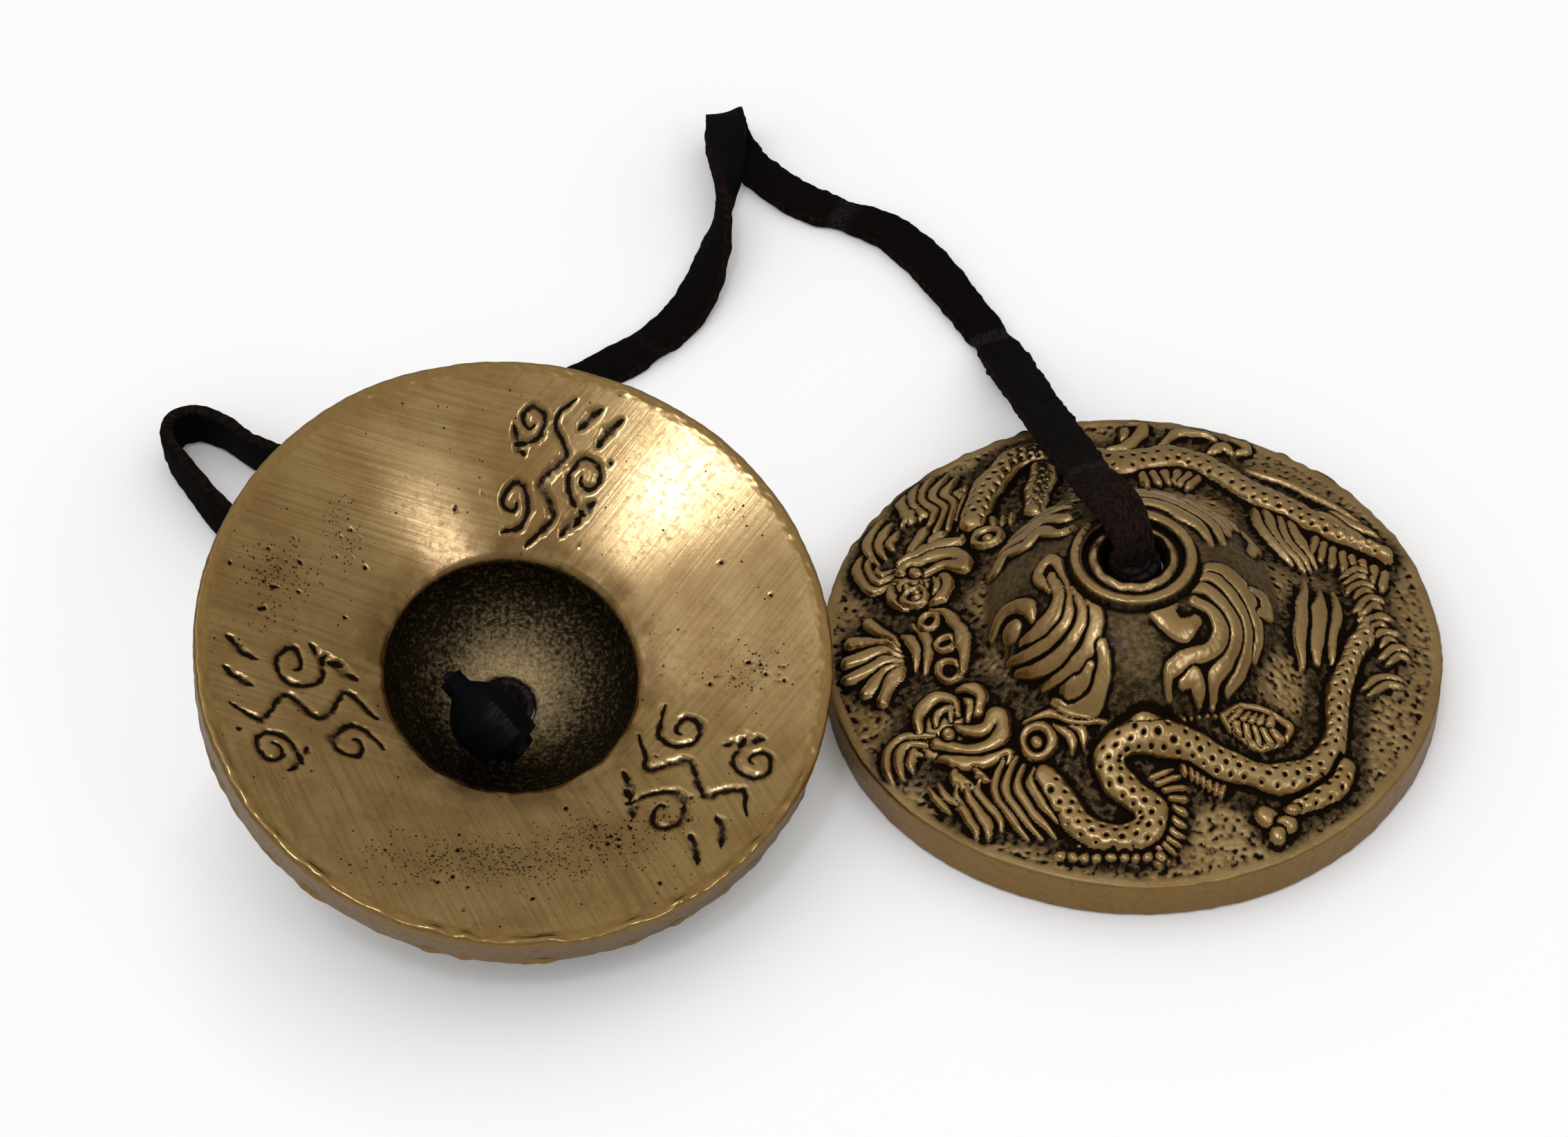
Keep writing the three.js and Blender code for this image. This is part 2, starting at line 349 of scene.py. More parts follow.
def scaled_body(relief, points, widths, height, rows=(-0.92, 0.0, 0.92)):
    """A dragon's body: a long rounded ridge with rows of dimples for scales."""
    line = smooth(points)
    window, distance, place = relief.near(line, max(widths) / 2 + 0.4)
    stops = np.linspace(0, 1, len(widths))
    half = np.interp(place, stops, widths) / 2
    inside = np.clip(1 - (distance / half) ** 2.4, 0, 1) ** 0.42
    beside = np.clip((distance - half) / 0.4, 0, 1)
    relief.height[window] = np.where(distance < half, height * inside, relief.height[window] * beside)
    for k, row in enumerate(rows):
        spots, heading = along(line, 1.45, 0.8 + 0.7 * (k % 2))
        reach = np.interp(np.linspace(0, 1, len(spots)), stops, widths) / 3.1
        shake = random.uniform(-0.12, 0.12, len(spots))
        for x, y in shifted(spots, heading, row * reach + shake):
            relief.dot(x, y, random.uniform(0.2, 0.3), -0.55)


def dome_swirls(relief):
    """Four clusters of hooked strands on the dome."""
    lower_left = [
        [(-14.9, -3.6), (-13.4, -2.4), (-11.6, -3.2), (-10.8, -5.2)],
        [(-8.8, -2.4), (-9.9, -0.6), (-8.6, 0.9), (-7.2, 0.0), (-6.7, -2.6), (-7.1, -5.2), (-8.7, -7.3),
         (-11.2, -7.8), (-13.5, -7.0)],
        [(-8.3, -1.4), (-7.9, -3.6), (-8.7, -5.6), (-10.3, -6.5), (-12.2, -6.4)],
        [(-5.9, -2.0), (-5.5, -4.6), (-6.0, -7.2), (-8.0, -9.1), (-10.6, -9.3), (-12.6, -8.5)],
        [(-4.7, -4.4), (-4.4, -7.2), (-5.4, -9.6), (-7.6, -10.7), (-10.2, -10.8)],
        [(-4.3, -9.8), (-4.3, -12.0), (-5.4, -13.6), (-7.4, -13.3), (-9.4, -12.2)],
        [(-5.6, -11.2), (-6.5, -12.1), (-8.4, -11.8)],
    ]
    lower_right = [
        [(5.2, -2.9), (7.6, -2.8), (9.8, -4.4), (10.6, -7.4), (10.0, -10.6), (8.3, -12.9)],
        [(6.8, -1.7), (9.2, -1.9), (11.4, -3.8), (12.0, -6.8), (11.5, -9.4)],
        [(4.5, -4.2), (6.8, -4.3), (8.7, -6.0), (9.2, -8.6), (8.2, -11.0), (6.9, -12.6), (6.5, -14.4)],
        [(5.4, -5.7), (7.2, -6.7), (7.7, -8.8), (6.5, -10.5), (4.2, -11.0), (2.3, -12.0), (2.2, -14.0)],
        [(12.0, -2.9), (13.2, -3.1), (13.4, -4.4), (12.5, -5.1)],
        [(3.7, -12.7), (5.0, -12.4), (5.2, -14.2)],
    ]
    upper_right = [
        [(0.6, 8.6), (3.4, 8.0), (5.8, 6.4), (7.4, 4.4), (8.2, 2.0)],
        [(1.2, 10.4), (4.0, 9.8), (6.8, 8.0), (8.8, 5.6), (9.8, 2.8)],
        [(3.0, 12.0), (5.0, 11.6), (5.2, 13.2), (4.6, 14.8)],
        [(10.4, 5.2), (8.9, 7.4), (7.0, 9.4), (6.8, 11.6), (6.2, 13.9)],
        [(11.0, 6.6), (9.4, 8.8), (8.5, 11.0), (8.0, 13.2)],
        [(12.0, 7.4), (10.8, 9.6), (9.8, 11.8)],
        [(13.0, 3.6), (13.6, 5.8), (12.6, 8.4)],
        [(1.4, 11.2), (2.4, 13.0), (2.2, 15.0)],
    ]
    upper_left = [
        [(-13.9, 4.4), (-12.4, 6.0), (-10.4, 5.2), (-8.9, 6.4), (-7.3, 5.0), (-5.6, 5.6)],
        [(-12.5, 7.8), (-10.2, 7.4), (-8.6, 8.5), (-6.4, 7.3), (-4.6, 8.0)],
        [(-11.2, 9.7), (-9.2, 9.4), (-7.4, 10.5), (-5.0, 9.7)],
        [(-9.6, 11.7), (-7.6, 11.4), (-5.6, 12.4), (-3.9, 11.7)],
        [(-8.0, 13.3), (-6.0, 13.5), (-4.2, 14.2)],
    ]
    for cluster in (lower_left, lower_right, upper_right, upper_left):
        for points in cluster:
            relief.ridge(points, 1.4, 0.55, ends=(0.7, 0.4), flat=0.22)
    relief.dot(-12.9, -4.9, 1.0, 0.5)
    relief.ridge([(2.5, -5.6), (2.4, -7.4), (3.9, -8.5), (5.6, -7.6)], 2.3, 0.65, ends=(1, 0.4))


def lower_dragon(relief):
    """The dragon that winds along the near side of the flange, with its mane, fins, leg and claws."""
    body = [
        (-10.8, -20.0), (-9.6, -22.8), (-7.5, -25.4), (-4.5, -26.9), (-1.6, -26.3), (-0.9, -24.3),
        (-2.2, -22.3), (-4.0, -20.3), (-4.2, -18.3), (-2.5, -17.0), (1.0, -17.1), (4.5, -18.3),
        (8.0, -20.1), (11.5, -21.1), (15.0, -20.7), (17.8, -18.8), (19.2, -15.5), (19.9, -12.0),
        (21.1, -8.5), (22.9, -5.2), (24.3, -2.4), (25.0, 0.6),
    ]
    relief.comb([(-0.1, -20.2), (1.1, -22.3), (1.2, -25.0), (0.2, -27.6), (-1.6, -29.3)], 1.5)
    relief.comb([(-4.4, -28.9), (-7.2, -27.9), (-9.4, -26.0), (-11.0, -23.6)], -1.3, lean=-0.3)
    relief.comb([(2.4, -19.3), (5.0, -20.7), (7.6, -22.4)], -1.4, spacing=0.8)
    relief.strands([(18.2, -9.0), (18.6, -5.4), (19.4, -2.4), (20.0, 0.6), (20.2, 3.8)], 3, 1.55, 1.2)
    scaled_body(relief, body, [3.2, 3.6, 3.7, 3.6, 3.5, 3.6, 3.4, 3.1, 2.7, 2.3, 1.4], 1.35)
    leg = [(19.6, -19.6), (18.6, -21.6), (16.4, -23.4), (14.0, -24.4)]
    scaled_body(relief, leg, [2.2, 2.4, 2.0], 0.95, rows=(-0.8, 0.8))
    for x, y, radius in ((11.0, -25.4, 1.3), (12.8, -26.3, 1.2), (11.6, -27.3, 0.9), (13.6, -24.6, 0.9)):
        relief.dot(x, y, radius, 0.9)
    head(relief, -19.6, -12.2, 1.0, lower=True)
    relief.strands([(-13.2, -17.4), (-14.1, -20.3), (-12.9, -23.4), (-11.3, -26.6)], 4, 1.15, 1.05, 0.8)
    relief.strands([(-18.6, -18.2), (-18.9, -20.6), (-17.2, -23.4), (-17.0, -25.6)], 3, 1.1, 0.95, 0.6)
    relief.strands([(-22.6, -17.6), (-21.4, -20.2), (-20.2, -22.0)], 2, 1.1, 0.9, 0.5)


def head(relief, x, y, scale, lower):
    """A plain dragon's head in profile: brows, eye, snout, horns, whiskers and jaw."""
    turn = 1 if lower else -1

    def at(points):
        return [(x + scale * a, y + scale * b * turn) for a, b in points]

    relief.dot(x - 1.4 * scale, y - 0.4 * turn, 3.2 * scale, 0.55)
    relief.strands(at([(-2.6, -1.6), (-4.8, -1.0), (-5.9, -2.8), (-5.2, -5.2)]), 3, 1.1, 1.0, 0.7)
    for points, *shape in (
        ([(-3.4, 0.4), (-3.2, 2.4), (-1.6, 3.9), (0.0, 3.2), (0.6, 1.4)], 1.3, 0.95),
        ([(-1.9, 0.6), (-1.4, 2.0), (-0.3, 2.2), (-0.2, 0.8)], 0.8, 0.8),
        ([(0.6, 4.4), (2.0, 4.0), (2.9, 2.6), (2.7, 0.9)], 1.2, 0.9, (0.4, 0.9)),
        ([(1.2, 3.0), (1.9, 2.0), (1.6, 0.4)], 0.8, 0.7),
        ([(0.4, -0.2), (2.4, -1.0), (3.5, -0.9), (4.5, 0.2), (5.0, -1.2), (3.9, -2.7), (1.8, -3.1),
          (-0.4, -2.5), (-2.2, -1.6)], 1.5, 1.0, (0.5, 0.8)),
        ([(-2.2, -3.2), (0.2, -4.1), (2.6, -4.6), (4.9, -4.3), (5.2, -5.3)], 1.4, 0.9),
        ([(-0.6, -5.0), (0.6, -6.8), (1.2, -8.4)], 1.3, 0.75, (0.8, 0.4)),
        ([(1.6, -5.2), (2.6, -6.6), (3.3, -7.0)], 1.0, 0.7),
    ):
        relief.ridge(at(points), *shape)
    eye = (x - 0.6 * scale, y - 0.9 * turn)
    relief.dot(*eye, 0.95 * scale, 1.15)
    relief.dot(*eye, 0.3, -0.5)


def upper_dragon(relief):
    """The dragon along the far side, with its mane, limb, fins and the clouds beside it."""
    relief.strands([(-19.4, 15.6), (-18.2, 18.8), (-19.0, 21.6), (-17.4, 25.2)], 7, 1.3, 1.1, 0.7)
    relief.strands([(-24.4, 12.8), (-25.6, 15.6), (-23.6, 18.6)], 3, 1.2, 1.0, 0.6)
    relief.ridge([(-16.6, 16.6), (-15.2, 20.0), (-13.0, 24.2), (-10.4, 27.6)], 1.2, 0.7)
    limb = [(-8.6, 15.6), (-7.8, 18.6), (-7.2, 21.4), (-6.6, 24.2)]
    scaled_body(relief, limb, [2.4, 3.4, 3.0], 0.9)
    body = [
        (-15.2, 15.2), (-13.9, 18.8), (-12.2, 23.0), (-9.2, 26.2), (-5.6, 26.8), (-2.0, 25.0),
        (1.4, 23.2), (4.6, 23.9), (8.4, 23.9), (12.0, 21.1), (15.2, 17.7), (19.0, 14.7),
        (22.4, 12.2), (25.6, 10.2), (28.2, 8.6),
    ]
    relief.strands([(16.6, 15.6), (17.0, 11.4), (18.2, 7.6), (19.4, 4.8)], 4, 1.15, 1.1, 0.7, fan=-0.2)
    relief.comb([(20.6, 10.6), (23.4, 8.6), (26.4, 7.0), (28.6, 5.8)], -2.4, spacing=1.15, width=1.0)
    relief.comb([(3.4, 21.2), (7.6, 21.2), (10.6, 19.4)], -2.6, spacing=1.2, width=0.95, lean=0.1)
    scaled_body(relief, body, [2.8, 3.6, 3.4, 3.4, 3.6, 3.6, 3.4, 3.2, 2.8, 1.8], 1.35)
    head(relief, -21.4, 8.4, 0.95, lower=False)
    clouds = [
        [(0.4, 26.4), (2.6, 26.8), (4.4, 28.6), (4.8, 30.4), (3.4, 30.8)],
        [(2.6, 28.4), (3.2, 29.8)],
        [(6.4, 26.8), (8.6, 28.8), (11.0, 29.0), (12.6, 27.8)],
        [(10.4, 30.0), (13.2, 29.4), (15.4, 27.6), (15.8, 25.8), (14.2, 25.2)],
        [(11.6, 25.6), (13.2, 26.4), (14.0, 25.2)],
    ]
    for points in clouds:
        relief.ridge(points, 1.2, 0.6)
    relief.ridge([(15.4, 22.6), (19.4, 19.8), (23.6, 17.0), (26.6, 13.8)], 0.9, 0.5)
    relief.strands([(22.4, 15.6), (25.4, 13.2), (28.0, 11.0)], 2, 1.2, 0.9, 0.5)


def ornaments(relief):
    """The shell, curls, pearl, leaf and tail fan between the dragons."""
    relief.strands([(-24.0, 2.0), (-22.4, 0.2), (-21.8, -2.6), (-22.8, -5.6)], 2, 1.3, 1.2, 0.85)
    for tip in ((-27.4, 3.4), (-29.3, 1.2), (-29.9, -1.2), (-29.6, -3.6), (-28.4, -5.8), (-26.6, -7.2)):
        start = (-24.2, -1.6 + 0.28 * tip[1])
        middle = ((start[0] + tip[0]) / 2, (start[1] + tip[1]) / 2 + 0.4)
        relief.ridge([start, middle, tip], 1.5, 0.8, ends=(0.4, 0.9))
    for x, y, radius in ((-21.2, 1.8, 1.0), (-19.4, -1.8, 0.9), (-19.4, -5.2, 1.1), (-22.2, 5.6, 1.2)):
        relief.ring(x, y, radius)
    relief.ridge([(-21.0, 3.4), (-19.2, 2.2), (-18.2, -0.2), (-18.0, -3.0), (-18.2, -5.6)], 1.0, 0.6)
    relief.ring(-13.6, 12.2, 1.5, 0.9, 0.8)
    relief.dot(-13.6, 12.2, 0.7, 0.7)
    relief.strands([(-12.2, 14.2), (-12.0, 16.4)], 3, 1.0, 0.8, 0.5)
    relief.ring(-11.2, -15.9, 1.6, 1.0, 0.85)
    relief.dot(-11.2, -15.9, 0.8, 0.9)
    relief.strands([(-9.0, -14.0), (-7.6, -15.6), (-7.4, -17.6)], 2, 1.1, 0.9, 0.6)
    relief.ridge([(-12.4, -13.6), (-9.8, -13.2), (-7.4, -14.2), (-4.4, -15.0)], 0.9, 0.5)
    leaf = [(7.6, -15.0), (9.6, -17.2), (12.4, -17.6), (14.6, -15.6), (12.6, -13.8), (9.8, -13.8)]
    relief.ridge(leaf + leaf[:1], 0.7, 0.5, ends=(1, 1))
    relief.comb([(8.4, -15.3), (10.6, -15.8), (13.8, -15.7)], 1.5, spacing=0.95, width=0.85, height=0.8)
    relief.comb([(8.8, -15.7), (10.8, -16.2), (13.4, -16.0)], -1.3, spacing=0.95, width=0.85, height=0.7)
    for k in range(5):
        relief.dot(6.8 - 0.85 * k, -15.2 - 0.05 * k, 0.32, 0.4)
    for k in range(6):
        share = k / 5
        start = (23.0 + 2.6 * share, 4.4 - 10.4 * share)
        middle = (start[0] + 1.6, start[1] + 1.3)
        relief.strands([start, middle, (start[0] + 3.2, start[1] + 0.8)], 2, 0.95, 0.85, 0.55)
    relief.strands([(23.0, -10.6), (25.4, -8.8), (27.6, -8.9)], 2, 1.0, 0.85, 0.5)
    for k in range(9):
        relief.dot(-10.4 + 1.25 * k, -28.4 - 0.1 * k, 0.62, 0.45)


def ring_and_lip(relief):
    """Clear ground for the raised ring round the hole, with a groove round it and a scalloped lip inside."""
    relief.height[relief.radius < RING_RADIUS + 0.6] = 0
    relief.height -= 0.2 * np.exp(-((relief.radius - RING_RADIUS - 0.35) / 0.28) ** 2)
    scallops = 0.12 + 0.1 * np.cos(LIP_SCALLOPS * np.arctan2(relief.y, relief.x))
    relief.height += scallops * np.exp(-((relief.radius - 3.9) / 0.5) ** 2)


def outside_relief():
    """The whole dome side: the strokes, then the pitted ground of the flange and a map of soft lumps."""
    relief = Relief()
    lower_dragon(relief)
    upper_dragon(relief)
    ornaments(relief)
    dome_swirls(relief)
    relief.waver(RELIEF_WAVER, 13)
    ring_and_lip(relief)
    speckle = unevenness(relief.height.shape, 1)
    cells = unevenness(relief.height.shape, 2)
    low = 1 - fade(relief.height, 0.05, 0.35)
    flange = fade(relief.radius, DOME_RADIUS - 1, DOME_RADIUS + 0.5) * (1 - fade(relief.radius, 31.0, 31.9))
    pitted = low * (0.15 + 0.85 * flange)
    relief.height -= pitted * (0.08 * np.clip(cells, -1, 2) + 0.05 * speckle)
    relief.height -= 0.16 * flange * low
    relief.height += 0.012 * speckle * (1 - low)
    relief.height *= 1 - fade(relief.radius, *RELIEF_END)
    relief.lumps = unevenness(relief.height.shape, 8)
    return relief


# ---------------------------------------------------------------- the open face's engraving

def flourish(relief, points, width=0.9, depth=0.27):
    """One engraved stroke: a tapering V with ragged sides, and the slight burr that a graver leaves."""
    window, distance, place = relief.near(smooth(points), width * 1.6)
    half = width / 2 * np.interp(place, [0, 0.12, 0.5, 0.85, 1], [0.35, 0.85, 1.1, 0.85, 0.3])
    half = half * (1 + 0.16 * unevenness(distance.shape, 2))
    relief.height[window] -= depth * np.clip(1.25 - distance / half, 0, 1) ** 0.7
    relief.height[window] += 0.015 * np.exp(-((distance - half * 1.35) / 0.16) ** 2)


def vine(relief, bearing, spread):
    """One engraved group: a wavy stem that runs out from the cup, with curls and leaves on both sides."""
    turn = math.radians(bearing)
    outward = np.array([math.cos(turn), math.sin(turn)])
    left = np.array([-outward[1], outward[0]])

    def at(points):
        return [tuple(out * outward + side * spread * left) for out, side in points]

    def curl(out, side, radius, hand, start):
        """A spiral of a little over one turn, with a tail that leads back to the stem."""
        sweep = np.linspace(-0.9, 2.3 * math.pi, 12)
        reach = radius * np.interp(sweep, [-0.9, 0, 2.3 * math.pi], [1.5, 1, 0.25])
        angle = math.radians(start) + hand * sweep
        return at(np.stack([out + reach * np.cos(angle), side + reach * np.sin(angle)], 1))

    stem = [(14.6, 1.6), (17.4, -1.0), (20.6, 1.2), (23.8, -1.2), (26.8, 0.9), (29.2, -0.9)]
    flourish(relief, at(stem), 1.0)
    flourish(relief, curl(18.2, 4.1, 2.2, 1, 215))
    flourish(relief, curl(21.8, -4.4, 2.5, -1, 140))
    flourish(relief, curl(26.4, 4.0, 2.0, 1, 200))
    leaves = ((15.8, -3.4, 2.2), (17.0, -5.0, 2.6), (22.8, 5.2, 2.8), (26.6, -3.6, 2.4), (25.4, -6.4, 2.6))
    for out, side, length in leaves:
        lean = math.copysign(1.1, side)
        blade = [(out, side - lean), (out + length / 2, side + 0.3), (out + length, side + lean)]
        flourish(relief, at(blade), 1.1)


def face_engraving():
    """Three engraved vines, the larger casting pits, and a second map of where fine pits are thick."""
    relief = Relief()
    for bearing, spread in ((78, 0.8), (195, 1.1), (323, 1.15)):
        vine(relief, bearing, spread)
    relief.waver(ENGRAVING_WAVER, 10)
    # Pitted patches: place, width, height and how thick the pits are
    patches = (
        (-2.0, -22.5, 7.5, 1.9, 1.0), (8.0, -19.5, 4.5, 1.5, 0.8), (-23.8, 9.0, 2.8, 2.0, 0.8),
        (-17.0, 13.6, 1.4, 2.6, 0.5), (24.0, -1.5, 2.0, 1.6, 0.6), (14.0, -18.0, 2.4, 1.8, 0.6),
        (-25.5, 4.0, 1.6, 1.6, 0.5),
    )
    relief.pitting = np.full(relief.height.shape, 0.012)
    for x, y, wide, high, amount in patches:
        cloud = np.exp(-(((relief.x - x) / wide) ** 2 + ((relief.y - y) / high) ** 2) / 1.6)
        relief.pitting = np.maximum(relief.pitting, amount * cloud)
        scatter(relief, (x, y), (wide, high), round(22 * amount), 0.16)
    scatter(relief, (0.0, 0.0), (17.0, 17.0), 40, 0.16)
    return relief


def scatter(relief, centre, spread, count, size):
    """Small casting pits, thickest about the centre."""
    places = random.standard_normal((count, 2)) * spread + centre
    sizes = size * random.uniform(0.5, 1.25, count) ** 1.5
    for (x, y), radius in zip(places, sizes):
        if CUP_RADIUS + 1 < math.hypot(x, y) < RIM_RADIUS - 2:
            relief.dot(x, y, radius, -1.1 * radius)


# ---------------------------------------------------------------- meshes

def placed(name, data):
    """A new object in the scene, for a mesh, a lamp or a lens."""
    made = bpy.data.objects.new(name, data)
    bpy.context.scene.collection.objects.link(made)
    return made


def make_mesh(name, vertices, quads, attributes, rings=(), caps=()):
    """A smooth mesh in metres from vertices in millimetres, with numbers or vectors on its points.

    The caps are the faces with many corners that close its ends, and the edges round each ring are sharp.
    """
    mesh = bpy.data.meshes.new(name)
    mesh.from_pydata((vertices * MM).tolist(), [], quads.tolist() + [cap.tolist() for cap in caps])
    mesh.validate()
    mesh.shade_smooth()
    for label, values in attributes.items():
        kind, field = ("FLOAT", "value") if values.ndim == 1 else ("FLOAT_VECTOR", "vector")
        mesh.attributes.new(label, kind, "POINT").data.foreach_set(field, np.float32(values).ravel())
    if rings:
        mark_sharp(mesh, rings)
    return placed(name, mesh)


def mark_sharp(mesh, rings):
    """Makes the edges within each ring of vertices sharp."""
    ring_of = np.full(len(mesh.vertices), -1)
    for k, ring in enumerate(rings):
        ring_of[ring] = k
    pairs = np.zeros(len(mesh.edges) * 2, np.int32)
    mesh.edges.foreach_get("vertices", pairs)
    first, second = ring_of[pairs[0::2]], ring_of[pairs[1::2]]
    sharp = (first >= 0) & (first == second)
    mesh.attributes.new("sharp_edge", "BOOLEAN", "EDGE").data.foreach_set("value", sharp)


def grid_quads(rows, columns, close_rows):
    """Quads between rows of points. Each row closes on itself, and the last row joins the first if asked."""
    row = np.arange(rows if close_rows else rows - 1)[:, None]
    column = np.arange(columns)[None, :]
    after_row, after_column = (row + 1) % rows, (column + 1) % columns
    corners = [(row, column), (row, after_column), (after_row, after_column), (after_row, column)]
    return np.stack([down * columns + across for down, across in corners], -1).reshape(-1, 4)


def facing_out(vertices, quads):
    """The quads of a closed mesh, turned over if they face inwards, and whether they were."""
    a, b, c, d = (vertices[quads[:, k]] for k in range(4))
    volume = np.einsum("ij,ij->i", a, np.cross(b, c)) + np.einsum("ij,ij->i", a, np.cross(c, d))
    return (quads[:, ::-1], True) if volume.sum() < 0 else (quads, False)


def capped_mesh(name, vertices, attributes):
    """A mesh from rows of points that close round it, with a flat cap at each end."""
    rows, points = vertices.shape[:2]
    vertices = vertices.reshape(-1, 3)
    quads, turned = facing_out(vertices - vertices.mean(0), grid_quads(rows, points, close_rows=False))
    first, last = np.arange(points), np.arange(points) + (rows - 1) * points
    caps = (first, last[::-1]) if turned else (first[::-1], last)
    own = {label: values.ravel() for label, values in attributes.items()}
    return make_mesh(name, vertices, quads, own, (first, last), caps)


# ---------------------------------------------------------------- cymbals

def evenly(points, step):
    """A line resampled at about equal steps, without its last point."""
    line = np.array(points, float)
    length = travelled(line)
    places = np.linspace(0, length[-1], max(2, round(length[-1] / step)) + 1)[:-1]
    return read_at(places, length, line)


def cymbal_section():
    """Points (radius, height) from the rim over the flange and dome, down the hole and back along the cup and
    the face, with the name of the zone that each one lies in."""
    rim_top, wall_foot = (RIM_RADIUS - RIM_BEVEL, RIM_HEIGHT), (RIM_RADIUS, RIM_BEVEL + 0.1)
    dome_foot, ring_foot = (DOME_RADIUS, 10.2), (RING_RADIUS + 0.2, 17.4)
    cup_top, cup_edge = (HOLE_RADIUS, CUP_CEILING + 0.3), (13.6, 7.5)
    face_edge = (RIM_RADIUS - RIM_FLAT, 0.22)
    flange = [rim_top, (27, 5.9), (20, 8.0), dome_foot]
    dome = [dome_foot, (13.9, 12.6), (11.2, 15.3), (8.6, 16.8), ring_foot]
    ring = [
        ring_foot, (6.62, 17.95), (6.42, 18.3), (6.1, RING_TOP), (5.6, 18.38), (5.3, 18.1),
        (5.1, 17.7), (4.85, 17.55), (4.6, 17.8), (4.2, 18.05), (3.6, 18.0), (3.2, 17.5),
    ]
    hole = [(3.2, 17.5), (HOLE_RADIUS, 17.2), cup_top]
    cup = [
        cup_top, (3.5, CUP_CEILING), (7.2, 14.9), (11.0, 12.3), (12.75, 9.5), (13.05, 8.3), (13.22, 7.86),
        cup_edge,
    ]
    face = [cup_edge, (17, 5.85), (24, 2.9), face_edge]
    edge = [face_edge, (31.7, 0.06), (32.05, 0.0), (32.3, 0.08), wall_foot]
    wall = [wall_foot, (RIM_RADIUS, RIM_HEIGHT - RIM_BEVEL), rim_top]
    parts = (
        ("outside", smooth(flange, 0.1), OUTSIDE_STEP),
        ("outside", smooth(dome, 0.1), OUTSIDE_STEP),
        ("ring", smooth(ring, 0.05), 0.12),
        ("ring", hole, 0.3),
        ("cup", smooth(cup, 0.1), CUP_STEP),
        ("face", smooth(face, 0.1), FACE_STEP),
        ("rim", smooth(edge, 0.05), 0.12),
        ("rim", wall, 0.2),
    )
    sections = [(zone, evenly(line, step)) for zone, line, step in parts]
    zones = np.concatenate([[zone] * len(line) for zone, line in sections])
    return np.vstack([line for _, line in sections]), zones


def wavy(reach):
    """A closed row of smooth random numbers round a cymbal, with a spread of 1."""
    row = blurred(random.standard_normal(COLUMNS), reach, rounds=3, wrap=True)
    row -= row.mean()
    return row / row.std()


